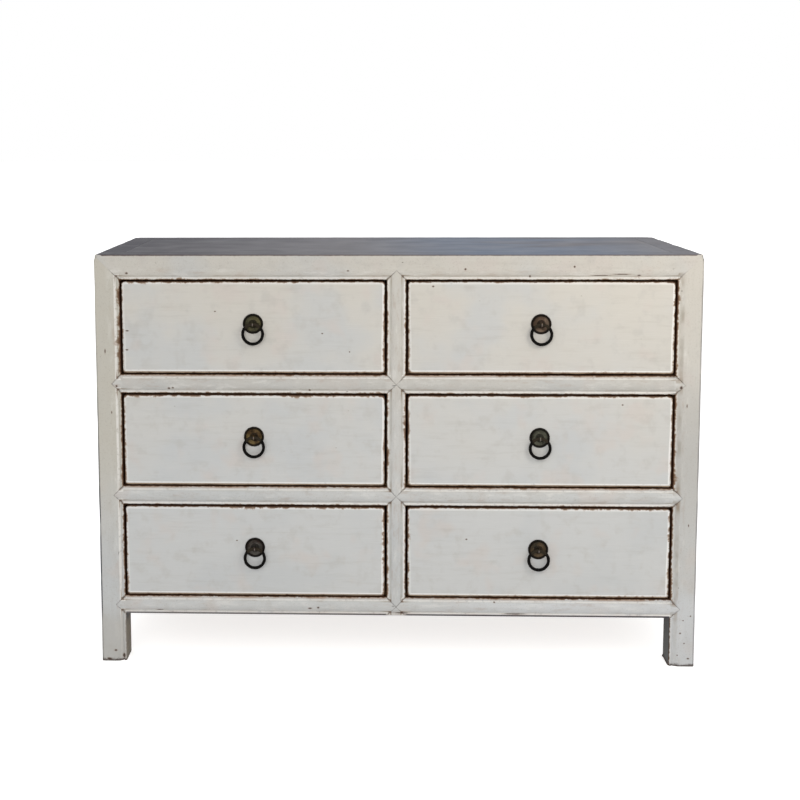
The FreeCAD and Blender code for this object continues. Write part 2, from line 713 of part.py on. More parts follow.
def make_bottom_rail_back():
    body = new_body("bottom_rail_back")
    bar = rectangle("-post_inner", "post_inner", "leg", "rail_top")
    add(body, "bar", "XZ_Plane", [bar], "depth - back_rail", "depth")
    tenons = rectangle("-post_inner - side_tenon", "post_inner + side_tenon",
                       "leg + shoulder", "side_tenon_top")
    add(body, "tenons", "XZ_Plane", [tenons], "depth - back_cheek - tenon_thick", "depth - back_cheek")
    groove = rectangle("-post_inner - overrun", "post_inner + overrun",
                       "rail_top - groove", "rail_top + overrun")
    cut(body, "groove", "XZ_Plane", [groove],
        "depth - back_recess - back_thick", "depth - back_recess")
    mortise = rectangle("-stile_tenon", "stile_tenon",
                        "rail_top - muntin_tenon - joint_gap", "rail_top + overrun")
    cut(body, "stile_mortise", "XZ_Plane", [mortise],
        "depth - back_cheek - tenon_thick", "depth - back_cheek")
    cut_bearer_seats(body, [0])
    return node(body, "bottom_rail_back")


def make_back_stile():
    body = new_body("back_stile")
    bar = rectangle("-stile_half", "stile_half", "rail_top", "top_low")
    add(body, "bar", "XZ_Plane", [bar], "depth - back_rail", "depth")
    tenons = rectangle("-stile_tenon", "stile_tenon", "rail_top - muntin_tenon", "top_low + muntin_tenon")
    add(body, "tenons", "XZ_Plane", [tenons], "depth - back_cheek - tenon_thick", "depth - back_cheek")
    grooves = both_sides(rectangle("stile_half - groove", "stile_half + overrun",
                                   "rail_top - overrun", "top_low + overrun"))
    cut(body, "grooves", "XZ_Plane", grooves, "depth - back_recess - back_thick", "depth - back_recess")
    cut_bearer_seats(body, range(1, len(ROWS)))
    return node(body, "back_stile")


def make_back_panel(side, sign):
    body = new_body(f"back_panel_{side}", x=f"{sign}(post_inner + stile_half) / 2")
    half = "(post_inner - stile_half) / 2 + tongue"
    board = rectangle(f"-({half})", half, "rail_top - tongue", "top_low + tongue")
    add(body, "board", "XZ_Plane", [board],
        "depth - back_recess - back_thick", "depth - back_recess")
    return body


# Drawer runners: a bearer under each drawer side, guides between them and stops behind

def make_bearers(row):
    body = new_body(f"bearers_{ROWS[row]}", z=level_of(row))
    outer = "side_inner"
    side_bearer = [
        (outer, "post"),
        (f"{outer} - stub_inset", "post"),
        (f"{outer} - stub_inset", "post - bearer_stub"),
        ("post_inner + stub_inset", "post - bearer_stub"),
        ("post_inner + stub_inset", "post"),
        ("post_inner", "post"),
        ("post_inner", "rail_depth - bearer_stub"),
        ("post_inner - bearer_lap", "rail_depth - bearer_stub"),
        ("post_inner - bearer_lap", "depth - back_rail"),
        ("post_inner", "depth - back_rail"),
        ("post_inner", "depth - post"),
        ("post_inner + stub_inset", "depth - post"),
        ("post_inner + stub_inset", "depth - post + bearer_stub"),
        (f"{outer} - stub_inset", "depth - post + bearer_stub"),
        (f"{outer} - stub_inset", "depth - post"),
        (outer, "depth - post"),
    ]
    centre_bearer = [
        ("-half_rail - bearer_lap", "rail_depth - bearer_stub"),
        ("half_rail + bearer_lap", "rail_depth - bearer_stub"),
        ("half_rail + bearer_lap", "depth - back_rail"),
        ("half_rail", "depth - back_rail"),
        ("half_rail", "depth - back_rail + bearer_stub"),
        ("-half_rail", "depth - back_rail + bearer_stub"),
        ("-half_rail", "depth - back_rail"),
        ("-half_rail - bearer_lap", "depth - back_rail"),
    ]
    add(body, "boards", "XY_Plane", both_sides(side_bearer) + [centre_bearer], "-bearer_thick", "0")
    return body


def make_guides(row):
    body = new_body(f"guides_{ROWS[row]}", z=level_of(row))
    loops = both_sides(rectangle("post_inner", "side_inner", "post", "depth - post"))
    loops.append(rectangle("-half_rail", "half_rail", "rail_depth", "depth - back_rail"))
    add(body, "bars", "XY_Plane", loops, "0", "guide_height")
    return body


def make_stops(row):
    body = new_body(f"stops_{ROWS[row]}", z=level_of(row))
    start = "front_recess + drawer_length + run_gap"
    loops = both_sides(rectangle("post_inner - stop_inset - stop_size", "post_inner - stop_inset",
                                 start, f"{start} + stop_size"))
    loops += both_sides(rectangle("half_rail + stop_inset", "half_rail + stop_inset + stop_size",
                                  start, f"{start} + stop_size"))
    add(body, "blocks", "XY_Plane", loops, "0", "stop_size")
    return body


# Drawers

def tail_heights(low, high):
    """For each dovetail of a corner: its lower and upper edge at the root."""
    pitch = f"({high} - ({low})) / {TAILS}"
    heights = []
    for number in range(TAILS):
        middle = f"{low} + ({number} + 1 / 2) * {pitch}"
        heights.append((f"{middle} - {TAIL_SHARE} / 2 * {pitch}", f"{middle} + {TAIL_SHARE} / 2 * {pitch}"))
    return heights


def side_outline():
    """A drawer side seen from the right, with its dovetails at both ends."""
    loop = [("front_thick", "run_gap")]
    for low, high in tail_heights("front_gap", "side_top"):
        loop += [("front_thick", low), ("front_lap", f"{low} - tail_flare"),
                 ("front_lap", f"{high} + tail_flare"), ("front_thick", high)]
    loop += [("front_thick", "side_top"), ("drawer_length", "side_top"),
             ("drawer_length", "back_top"), ("drawer_rear", "back_top")]
    for low, high in reversed(tail_heights("bottom_top", "back_top")):
        loop += [("drawer_rear", high), ("drawer_length", f"{high} + tail_flare"),
                 ("drawer_length", f"{low} - tail_flare"), ("drawer_rear", low)]
    loop += [("drawer_rear", "bottom_top"), ("drawer_length", "bottom_top"), ("drawer_length", "run_gap")]
    return loop


def make_drawer_front(name, at):
    body = new_body(name, *at)
    board = rectangle("-half_front", "half_front", "front_gap", "opening_height - front_gap")
    pad = add(body, "board", "XZ_Plane", [board], "0", "front_thick")
    doc.recompute()
    rim = [f"Edge{i + 1}" for i, edge in enumerate(pad.Shape.Edges)
           if edge.BoundBox.YMax < value("front_round")]
    rounding = body.newObject("PartDesign::Fillet", "worn_edges")
    rounding.Base = (pad, rim)
    bind(rounding, "Radius", "front_round")
    sockets = [[("front_thick + overrun", low), ("front_thick", low), ("front_lap", f"{low} - tail_flare"),
                ("front_lap", f"{high} + tail_flare"), ("front_thick", high), ("front_thick + overrun", high)]
               for low, high in tail_heights("front_gap", "side_top")]
    cut(body, "sockets_right", "YZ_Plane", sockets, "half_inside", "half_front + overrun")
    cut(body, "sockets_left", "YZ_Plane", sockets, "-half_front - overrun", "-half_inside")
    groove = rectangle("-bottom_groove", "bottom_groove", "bottom_lift", "bottom_top")
    cut(body, "bottom_groove", "XZ_Plane", [groove],
        "front_thick - bottom_tongue - panel_gap", "front_thick + overrun")
    hole = draw_circle(body, "pin_hole_outline", "XZ_Plane", "0", "pull_z", "pin_hole / 2", "overrun")
    cut_sketch(body, "pin_hole", hole, "-overrun", "front_thick + overrun")
    return node(body, name)


def make_drawer_sides(name, at):
    body = new_body(name, *at)
    outline = side_outline()
    add(body, "side_right", "YZ_Plane", [outline], "half_inside", "half_front")
    add(body, "side_left", "YZ_Plane", [outline], "-half_front", "-half_inside")
    groove = rectangle("-bottom_groove", "bottom_groove", "bottom_lift", "bottom_top")
    cut(body, "bottom_grooves", "XZ_Plane", [groove],
        "front_lap - overrun", "drawer_length + overrun")
    return node(body, name)


def make_drawer_back(name, at):
    body = new_body(name, *at)
    board = rectangle("-half_front", "half_front", "bottom_top", "back_top")
    add(body, "board", "XZ_Plane", [board], "drawer_rear", "drawer_length")
    sockets = [[("drawer_rear - overrun", low), ("drawer_rear", low),
                ("drawer_length", f"{low} - tail_flare"), ("drawer_length + overrun", f"{low} - tail_flare"),
                ("drawer_length + overrun", f"{high} + tail_flare"),
                ("drawer_length", f"{high} + tail_flare"),
                ("drawer_rear", high), ("drawer_rear - overrun", high)]
               for low, high in tail_heights("bottom_top", "back_top")]
    cut(body, "sockets_right", "YZ_Plane", sockets, "half_inside", "half_front + overrun")
    cut(body, "sockets_left", "YZ_Plane", sockets, "-half_front - overrun", "-half_inside")
    return node(body, name)


def make_drawer_bottom(name, at):
    body = new_body(name, *at)
    board = rectangle("-half_inside - bottom_tongue", "half_inside + bottom_tongue",
                      "front_thick - bottom_tongue", "drawer_length")
    add(body, "board", "XY_Plane", [board], "bottom_lift", "bottom_top")
    return node(body, name)


def make_plate(name, at):
    """Round plate with a raised rim and a boss, turned about the pull's axis."""
    body = new_body(name, *at)
    profile = [
        ("0", "pin_hole / 2"),
        ("0", "plate_radius"),
        ("-plate_thick", "plate_radius", "rim_radius", 1),
        ("-plate_thick", "plate_radius - rim"),
        ("-plate_thick", "boss_radius", "boss_round", 1),
        ("-plate_thick - boss_rise", "pin_hole / 2 + boss_flat"),
        ("-plate_thick - boss_rise", "pin_hole / 2"),
    ]
    sketch = draw(body, "profile", "YZ_Plane", [profile])
    turning = body.newObject("PartDesign::Revolution", "turning")
    turning.Profile = sketch
    turning.ReferenceAxis = (sketch, ["H_Axis"])
    return body


def make_split_pin(name, at):
    """Wire bent to an eye, with both legs through the front and clinched behind it."""
    body = new_body(name, *at)

    def route(side, turn):
        """From the clinched tail to the tip of the eye."""
        return [
            ("tail_y", f"{side}(half_spread + pin_bend + pin_tail)"),
            ("tail_y", f"{side}(half_spread + pin_bend)", "pin_bend", -turn),
            ("tail_y - pin_bend", f"{side}half_spread"),
            ("neck_reach - ring_stand", f"{side}half_spread", "pin_neck", -turn),
            ("neck_reach * neck_share - ring_stand", f"{side}neck_rise * neck_share", "eye_radius", turn),
        ]
    upper = route("", 1)
    lower = route("-", -1)
    tip = [("-eye_radius - ring_stand", "0", "eye_radius", 1)]
    back = []
    for i in range(len(lower) - 1, -1, -1):
        bend = lower[i - 1][2:] if i else ()
        back.append((*lower[i][:2], *((bend[0], -bend[1]) if bend else ())))
    spine = draw(body, "route", "YZ_Plane", [upper + tip + back], closed=False)
    wire = draw_circle(body, "wire", "XY_Plane", "0", "tail_y", "pin_wire / 2",
                       "half_spread + pin_bend + pin_tail")
    pipe = body.newObject("PartDesign::AdditivePipe", "pin")
    pipe.Profile = wire
    pipe.Spine = spine
    return body


def make_ring(name, at):
    ring = doc.addObject("Part::Torus", name)
    bind(ring, "Radius1", "ring_radius")
    bind(ring, "Radius2", "ring_wire / 2")
    ring.Placement = FreeCAD.Placement(
        FreeCAD.Vector(0, 0, 0), FreeCAD.Rotation(FreeCAD.Vector(1, 0, 0), 90))
    place(ring, at[0], f"{at[1]} - ring_stand", f"{at[2]} - ring_radius")
    return node(ring, name)


def make_drawer(name, x):
    """One drawer of the bottom row, as a node for each of its pieces."""
    at = (x, "front_plane + front_recess", "rail_top")
    pull_at = (x, at[1], f"{at[2]} + pull_z")
    pull = [make_plate(f"{name}_plate", pull_at), make_split_pin(f"{name}_pin", pull_at)]
    return {
        "front": make_drawer_front(f"{name}_front", at),
        "sides": make_drawer_sides(f"{name}_sides", at),
        "back": make_drawer_back(f"{name}_back", at),
        "bottom": make_drawer_bottom(f"{name}_bottom", at),
        "pull": group(f"{name}_pull", pull),
        "ring": make_ring(f"{name}_ring", pull_at),
    }


def make_drawers():
    """The left drawer of the bottom row, its mirror image, and both again in the rows above."""
    left = make_drawer("drawer_bottom_left", "-opening_x")
    right = {piece: mirrored(thing, f"drawer_bottom_right_{piece}") for piece, thing in left.items()}
    for row in range(1, len(ROWS)):
        for column, pieces in (("left", left), ("right", right)):
            for piece, thing in pieces.items():
                lifted(thing, f"drawer_{ROWS[row]}_{column}_{piece}", row)


# The chest

mirrored(make_post("post_front_left", from_front), "post_front_right")
mirrored(make_post("post_back_left", from_back), "post_back_right")
make_top_rail_front()
make_top_rail_back()
mirrored(make_top_rail_side(), "top_rail_right")
make_top_panel()
group("top_battens", [make_batten(number, share) for number, share in enumerate(BATTEN_SHARES, start=1)])
make_front_rail("front_rail_bottom", 0)
make_front_rail("front_rail_lower", 1)
make_front_rail("front_rail_upper", 2)
group("front_muntins", [make_muntin(row) for row in range(len(ROWS))])
mirrored(make_side_panel(), "side_panel_right")
mirrored(make_bottom_rail_side(), "bottom_rail_right")
make_bottom_rail_back()
make_back_stile()
group("back_panels", [make_back_panel("left", "-"), make_back_panel("right", "")])
group("drawer_bearers", [make_bearers(row) for row in range(len(ROWS))])
group("drawer_guides", [make_guides(row) for row in range(len(ROWS))])
group("drawer_stops", [make_stops(row) for row in range(len(ROWS))])
make_drawers()
doc.recompute()

# Nothing is written unless every object and every shape is sound
for thing in doc.Objects:
    failed = [state for state in thing.State if state in ("Invalid", "Error")]
    if failed:
        raise RuntimeError(f"{thing.Label} is {failed}")
    if thing.TypeId == "PartDesign::Pocket" and thing.Shape.Volume >= thing.BaseFeature.Shape.Volume:
        raise RuntimeError(f"{thing.Label} of {thing.getParentGeoFeatureGroup().Label} cuts nothing")
for thing in nodes:
    if thing.Shape.isNull() or not thing.Shape.isValid():
        raise RuntimeError(f"{thing.Label} has no sound shape")

os.makedirs("parts", exist_ok=True)
for thing in nodes:
    thing.Shape.exportStep(f"parts/{thing.Label}.step")
    print(thing.Label, len(thing.Shape.Solids), "solids", round(thing.Shape.Volume), "mm3")
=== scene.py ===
import json
import math

import bmesh
import bpy
from mathutils import Matrix, Vector, noise


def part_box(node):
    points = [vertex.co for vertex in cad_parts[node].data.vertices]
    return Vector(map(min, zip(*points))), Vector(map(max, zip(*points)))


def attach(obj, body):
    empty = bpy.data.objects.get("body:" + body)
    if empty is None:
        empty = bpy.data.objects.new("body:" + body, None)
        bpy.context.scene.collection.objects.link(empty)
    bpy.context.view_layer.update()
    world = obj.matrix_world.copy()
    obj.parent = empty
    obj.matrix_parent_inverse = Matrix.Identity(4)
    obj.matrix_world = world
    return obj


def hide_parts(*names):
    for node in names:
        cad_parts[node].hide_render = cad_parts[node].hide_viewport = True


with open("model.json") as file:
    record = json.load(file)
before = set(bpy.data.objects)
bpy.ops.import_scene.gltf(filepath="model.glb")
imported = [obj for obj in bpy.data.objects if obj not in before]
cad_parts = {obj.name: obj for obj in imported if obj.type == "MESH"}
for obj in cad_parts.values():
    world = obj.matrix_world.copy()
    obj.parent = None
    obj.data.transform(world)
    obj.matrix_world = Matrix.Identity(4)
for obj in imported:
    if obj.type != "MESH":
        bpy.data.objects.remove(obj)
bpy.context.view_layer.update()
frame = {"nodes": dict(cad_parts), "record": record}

# A painted chest with six drawers: an off-white coat rubbed through to brown wood along its
# edges, a dark stained top, brass back plates with iron rings, and bare wood inside.

MM = 0.001


def band(start, full, origin=0.0):
    """A band of the finish: where it starts and where it is full, in millimetres from an origin."""
    return origin + start * MM, origin + full * MM


SIDES = ["left", "right"]
ROWS = ["bottom", "middle", "top"]
DRAWERS = [f"drawer_{row}_{side}" for row in ROWS for side in SIDES]
BODY_OF = {}
for body, members in frame["record"]["behaviour"]["bodies"].items():
    for member in members:
        BODY_OF[member] = body

# Places read from the frame
POST_LOW, POST_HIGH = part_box("post_front_right")
DRAWER_LOW, DRAWER_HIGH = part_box("drawer_middle_right_front")
RAIL_LOW, RAIL_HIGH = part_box("front_rail_lower")
PLATE_LOW, PLATE_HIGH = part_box("drawer_middle_right_pull")
FRONT = POST_LOW.y
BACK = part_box("post_back_left")[1].y
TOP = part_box("top_panel")[1].z
HALF_WIDTH = POST_HIGH.x
POST = POST_HIGH.x - POST_LOW.x
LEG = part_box("front_rail_bottom")[0].z
HALF_RAIL = (RAIL_HIGH.z - RAIL_LOW.z) / 2
COLUMN = (DRAWER_LOW.x + DRAWER_HIGH.x) / 2
MIDDLE = (DRAWER_LOW.z + DRAWER_HIGH.z) / 2
ROW_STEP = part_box("drawer_top_right_front")[0].z - DRAWER_LOW.z
HALF_DRAWER_X = (DRAWER_HIGH.x - DRAWER_LOW.x) / 2
HALF_DRAWER_Z = (DRAWER_HIGH.z - DRAWER_LOW.z) / 2
HALF_OPENING_X = POST_LOW.x - COLUMN
HALF_OPENING_Z = HALF_DRAWER_Z + DRAWER_LOW.z - RAIL_HIGH.z
DRAWER_FACE = DRAWER_LOW.y
SIDE_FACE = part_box("side_panel_right")[1].x
BACK_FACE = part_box("back_panels")[1].y
PLATE_RADIUS = (PLATE_HIGH.x - PLATE_LOW.x) / 2
PLATE_MIDDLE = (PLATE_LOW.z + PLATE_HIGH.z) / 2

# Widths on the mouldings, from the edge of an opening outwards
BEAD_CREST = 4.2 * MM
BEAD_HALF = 2.4 * MM
BEAD_WIDER = 2.0 * MM
BEAD_LEFT = 3.4 * MM
QUIRK = 9.0 * MM
QUIRK_HALF, QUIRK_SPREAD, QUIRK_SHIFT = 2.0 * MM, 3.6 * MM, 2.0 * MM
BEAD_MEETING = 0.8 * QUIRK
MOULDING = band(34, 14)
CORNER_DIRT = band(28, 6)
LEG_FADE = band(5, -20, LEG)

# Parts of the front, which fade into each other over EDGE_BLUR, and its halves over HALF_CHANGE
EDGE_BLUR = 1 * MM
HALF_CHANGE = 200 * MM
PAST_EDGE = (0.0, EDGE_BLUR)
INSIDE_EDGE = (0.0, -EDGE_BLUR)
ON_FRONT = band(9, 7, FRONT)
PAST_FRONT = band(5, 7, FRONT)
ON_RAIL = band(1, -4)
UNDER_DRAWER = band(0, -50)
PALE_LEVELS = band(70, 30, LEG)

# The film that the drawers leave on the rails
FILM_WIDE = band(11, 4)
FILM_ENDS = band(1, -12)
FILM_NARROW = band(5.5, 1.5)

# The mitre lines, their points, the smudges round them and the spots where two beads meet
LINE_EDGE = band(1.5, 0.5)
LINE_START = band(-0.2, 0.2)
LINE_FADE = band(14, -12)
LINE_RAGGED = 30 * MM
POINT_EDGE = band(2.6, 0.8)
POINT_LEVELS = band(-60, -70, TOP)
TOP_MITRE = band(-4, 4, TOP - POST)
SMUDGE_EDGE = band(5, 1)
SMUDGE_START = band(0, 2)
SMUDGE_REACH = band(15, 3)
SMUDGE_BROWN = band(11, 5)
SPOT_EDGE = band(1.2, -0.8)
SPOT_RAGGED = 5.0 * MM

# Paint rubbed through beside the gaps, and the depth of the gaps
RAIL_RUBBED, POST_RUBBED, DRAWER_RUBBED = 1.8 * MM, 4.6 * MM, 2.5 * MM
RUBBED_LEAST, RUBBED_FRAYED = 0.3 * MM, 2.0 * MM
GAP_SIDE = band(1.2, 0.4)
GAP_DEEPEST = band(30, 22, FRONT)
GAP_LEVELS = band(8, 12, LEG)

# Dark lines on the arrises of the posts and the bottom rail, and painted shade on the legs
DARK_LINE_EDGE = band(4.6, 2.4)
DARK_LINE_FRONT = band(8, 5, FRONT)
DARK_LINE_LEVELS = band(5, 3.2, LEG)
LEG_TOP = band(-2, 0, LEG)
LEG_LEVELS = band(0, -3, LEG)
LEG_INNER = band(-3, -0.5, POST)
UNDER_LEVELS = band(-30, -4, LEG)
LEFT_LEG_LEVELS = band(20, -25, LEG)
SCUFF_EDGE = band(1, -4)
SCUFF_RAGGED = 12 * MM

# The stain of the top
STAIN_LINE = band(-2.8, -1.6, TOP)
STAIN_START = band(-1.7, -0.7, TOP)
STAIN_RAGGED = 2.2 * MM
STAIN_CORNER = band(17, 12)
STAIN_LOST = 4 * MM
STAIN_FRONT = band(9, 4, FRONT)
STAIN_ENDS = band(9, 4)
TOP_UNDERSIDE = band(-1, -2, TOP)

# The drawer fronts
# Where the bright line inside a drawer's edges lies: partly polish, partly a painted highlight
DRAWER_CREST_INSET, DRAWER_CREST_LOWER, DRAWER_CREST_CHANGE = 3.8 * MM, 1.6 * MM, 50 * MM
DRAWER_CREST_EDGE = band(2.6, 0.6)
LOWER_HALF = band(30, -30)
BENEATH_SHADE = band(4.6, 3.0)
DRAWER_FLANK = band(2.4, 4, DRAWER_FACE)
DRAWER_BARE = band(12, 16, DRAWER_FACE)

# Wood that shows only from inside
INSIDE_FRONT = band(16, 19, FRONT)
INSIDE_BACK = band(-2, -4, BACK_FACE)
INSIDE_SIDE = band(-2, -4, SIDE_FACE)
INSIDE_TOP = band(-15, -17, TOP)
INSIDE_LOW = band(-1, 1, LEG)

# The pulls, and how deep the fine relief of each finish is
MOAT_RADIUS = 6.4 * MM
MOAT_EDGE = band(3.4, 1.4)
BOSS_EDGE = band(2.8, 1.6)
PLATE_RIM = band(-6, -3.8, PLATE_RADIUS)
RING_ON_PLATE = band(-2, -7, PLATE_RADIUS)
TURNING_PITCH = 1.1 * MM
PAINT_RELIEF, WOOD_RELIEF = 0.35 * MM, 0.3 * MM
BRASS_RELIEF, IRON_RELIEF = 0.15 * MM, 0.2 * MM

# How worn the wood is
SLICE = 5.0 * MM
SLICE_TOP = 9.0 * MM
EDGE_ROWS = [1.2 * MM, 2.6 * MM, 4.5 * MM, 8.0 * MM]
CORNER_BALL = 9.0 * MM
ARRIS_SOFT = 3.0 * MM
ARRIS_WORN = 2.2 * MM
OPENING_WORN = 1.7 * MM
CHIP_DEPTH = 1.3 * MM
CHIP_REACH = 5.0 * MM
PLANE_WAVE = 0.12 * MM
TOP_WAVE = 0.25 * MM
DRAWER_SOFT = 2.0 * MM
DRAWER_WORN = 1.6 * MM
DRAWER_CORNER = 6.0 * MM
DRAWER_ROUND = 8.0 * MM
FOOT_SCUFF = 7.0 * MM
FOOT_CHIP = 1.6 * MM
WORN_REACH = 16.0 * MM
WORN_FADE = 30.0 * MM

# How long the waves along worn edges and faces are, and how long the chips
POST_WAVE, FRONT_WAVE, SIDE_WAVE = 60 * MM, 45 * MM, 50 * MM
OPENING_WAVE, CASE_WAVE = 20 * MM, 70 * MM
CASE_CHIP, FOOT_BREAK, DRAWER_CHIP = 11 * MM, 8 * MM, 9 * MM
CORNER_WAVE, EDGE_WAVE, DRAWER_WAVE = 24 * MM, 16 * MM, 60 * MM
RUB_WAVE, RUB_SPOT = 55 * MM, 17 * MM
BOARD_WAVE, BOARD_STRETCH = 26 * MM, 14
PLATE_DENT, PLATE_WAVE = 0.18 * MM, 5 * MM
RING_DENT, RING_WAVE = 0.3 * MM, 6 * MM

# How finely meshes are joined, simplified and shaded
SAME_POINT = 1e-6
FLAT_ANGLE = math.radians(0.3)
SHARP_ANGLE = math.radians(35.0)

# Where the paint is rubbed through most: a drawer's row and side, the side of its opening, the
# stretch of that side from its left or lower end, and how worn the case and the drawer are there
WORN_SHARES = [
    ("top", "left", "left", 0.03, 0.9, 1.0, 0.25),
    ("top", "left", "bottom", 0.55, 0.97, 0.5, 0.7),
    ("top", "left", "top", 0.05, 0.5, 0.45, 0.6),
    ("top", "left", "right", 0.1, 0.45, 0.2, 0.7),
    ("top", "right", "left", 0.0, 0.6, 0.1, 0.9),
    ("top", "right", "right", 0.0, 1.0, 0.6, 0.7),
    ("top", "right", "bottom", 0.36, 0.58, 0.3, 0.9),
    ("top", "right", "bottom", 0.66, 1.0, 0.8, 0.5),
    ("middle", "left", "top", 0.02, 0.3, 0.3, 0.8),
    ("middle", "left", "top", 0.62, 0.98, 0.3, 0.7),
    ("middle", "left", "left", 0.0, 1.0, 0.2, 1.0),
    ("middle", "left", "right", 0.1, 0.5, 0.3, 0.5),
    ("middle", "right", "left", 0.1, 0.8, 0.15, 1.0),
    ("middle", "right", "right", 0.1, 0.95, 0.5, 0.4),
    ("middle", "right", "bottom", 0.15, 0.4, 0.5, 0.4),
    ("bottom", "left", "left", 0.0, 0.85, 0.3, 0.7),
    ("bottom", "left", "right", 0.0, 1.0, 0.35, 1.0),
    ("bottom", "left", "top", 0.4, 1.0, 0.4, 0.8),
    ("bottom", "left", "bottom", 0.0, 0.25, 0.3, 0.5),
    ("bottom", "right", "left", 0.1, 0.95, 0.15, 0.9),
    ("bottom", "right", "right", 0.0, 0.9, 0.15, 1.0),
    ("bottom", "right", "top", 0.6, 0.98, 0.3, 0.6),
    ("bottom", "right", "bottom", 0.3, 0.95, 0.2, 0.9),
]

# Dents, nail holes and scratches: the place as shares of the half width and of the height, and
# half the length and half the height of the mark in millimetres
RAIL_MARK_SHARES = [
    (-0.892, 0.956, 3.0, 2.4),
    (-0.757, 0.679, 2.6, 2.2),
    (-0.744, 0.680, 2.4, 1.6),
    (-0.288, 0.675, 2.4, 1.8),
    (-0.16, 0.962, 2.6, 1.4),
    (0.225, 0.966, 2.2, 2.0),
    (0.436, 0.949, 1.8, 2.6),
    (0.58, 0.972, 2.0, 2.0),
    (0.665, 0.951, 22.0, 0.9),
    (0.735, 0.954, 18.0, 1.1),
    (0.79, 0.951, 4.0, 1.6),
    (0.935, 0.684, 3.0, 3.4),
    (-0.932, 0.684, 2.2, 2.6),
    (-0.29, 0.137, 4.0, 1.8),
    (-0.262, 0.139, 2.6, 2.0),
    (-0.8, 0.13, 8.0, 1.2),
    (0.02, 0.126, 14.0, 1.1),
    (0.4, 0.126, 24.0, 0.9),
    (0.33, 0.155, 2.0, 1.6),
]
POST_MARK_SHARES = [
    (-0.968, 0.768, 1.2, 5.0),
    (-0.95, 0.62, 1.2, 3.0),
    (-0.936, 0.69, 1.6, 2.4),
    (-0.953, 0.027, 3.4, 2.4),
    (-0.975, 0.006, 5.0, 2.0),
    (-0.925, 0.012, 3.0, 5.0),
    (0.979, 0.02, 2.6, 1.8),
    (0.951, 0.083, 2.0, 2.0),
    (0.943, 0.028, 1.5, 1.5),
    (0.96, 0.115, 1.6, 1.4),
    (0.984, 0.126, 1.4, 1.6),
    (0.94, 0.143, 1.6, 1.6),
    (0.965, 0.058, 1.3, 1.5),
    (0.955, 0.64, 1.2, 4.0),
    (0.97, 0.35, 1.2, 3.0),
]
DRAWER_MARK_SHARES = [
    (-0.893, 0.818, 3.4, 1.4),
    (-0.895, 0.772, 3.0, 1.6),
    (-0.6, 0.865, 1.8, 1.2),
    (-0.245, 0.812, 2.0, 1.4),
    (-0.155, 0.768, 1.4, 1.4),
    (0.12, 0.925, 2.4, 1.8),
    (0.745, 0.642, 2.0, 1.6),
    (-0.535, 0.305, 2.0, 1.4),
    (0.235, 0.312, 2.0, 1.6),
]

# The view: the photograph is a square of FRAME_PIXELS, its optical middle at MIDDLE_PIXELS
SENSOR = 36.0
FRAME_PIXELS = 800
FOCAL_PIXELS = 1189.0
MIDDLE_PIXELS = (330.0, 255.0)
CAMERA_PLACE = (-0.0586, FRONT - 2.367, 1.0745)
CAMERA_TURNS = (-1.806, -5.468, -0.191)

# Light
WORLD_LEVEL = 0.622
FLOOR_SHINE = 0.72
FLOOR_HALF = 60.0
KEY_PLACE, KEY_AIM = (0.8, -1.02, 1.2), (0.45, -0.2, 0.7)
KEY_SIZE, KEY_POWER, KEY_COLOUR = 0.5, 3.55, (1.0, 0.92, 0.81)
FILL_PLACE, FILL_AIM = (-1.0, -4.6, 2.6), (0.0, 0.0, 0.4)
FILL_SIZE, FILL_POWER, FILL_COLOUR = 2.6, 57.0, (1.0, 1.0, 1.0)


def linear(red, green, blue):
    """A colour as a picture shows it, 0 to 255, in the numbers that shaders take."""
    def lift(part):
        part = part / 255
        return part / 12.92 if part <= 0.04045 else ((part + 0.055) / 1.055) ** 2.4
    return (lift(red), lift(green), lift(blue), 1.0)


# Colours of the finishes
PAINT = linear(202, 203, 202)
PAINT_WARM = linear(206, 201, 191)
PAINT_COOL = linear(193, 196, 197)
PAINT_ROSE = linear(206, 196, 189)
PAINT_OLD = linear(183, 180, 174)
PAINT_AGED_AND_SHADED = linear(196, 191, 178)
PAINT_PALE = linear(216, 220, 226)
BURNISH_AND_HIGHLIGHT = linear(238, 236, 231)
POLISH_AND_HIGHLIGHT = linear(250, 249, 245)
GRIME_AND_SHADE = linear(148, 141, 127)
GLAZE = linear(163, 136, 116)
RUBBED_THIN = linear(142, 122, 100)
RUBBED = linear(102, 74, 55)
RUBBED_DARK = linear(58, 36, 23)
GAP_WOOD_AND_SHADE = linear(84, 56, 38)
LEG_INSIDE = linear(120, 109, 90)
LEG_SHADE = linear(40, 39, 35)
LEG_UNDER_SHADOW = linear(14, 10, 8)
STAIN = linear(111, 110, 116)
STAIN_BLUE_REFLECTION = linear(104, 116, 136)
STAIN_BROWN = linear(98, 80, 72)
STAIN_DARK = linear(48, 47, 58)
STAIN_WORN = linear(142, 140, 140)
ELM = linear(176, 143, 104)
ELM_DARK = linear(128, 95, 62)
ELM_GREY = linear(150, 132, 106)
BRASS_BRIGHT = linear(132, 118, 84)
BRASS_DARK = linear(16, 12, 9)
BOSS_GREY = linear(118, 108, 104)
IRON = linear(9, 8, 7)
IRON_WORN = linear(30, 26, 23)
IRON_PLATE_REFLECTION = linear(56, 49, 39)
FLOOR_WHITE = linear(240, 240, 240)

# Where a node that mixes colours takes its share and the two colours, and where it gives the mix
MIX_SOCKETS, MIX_RESULT = (0, 6, 7), 2

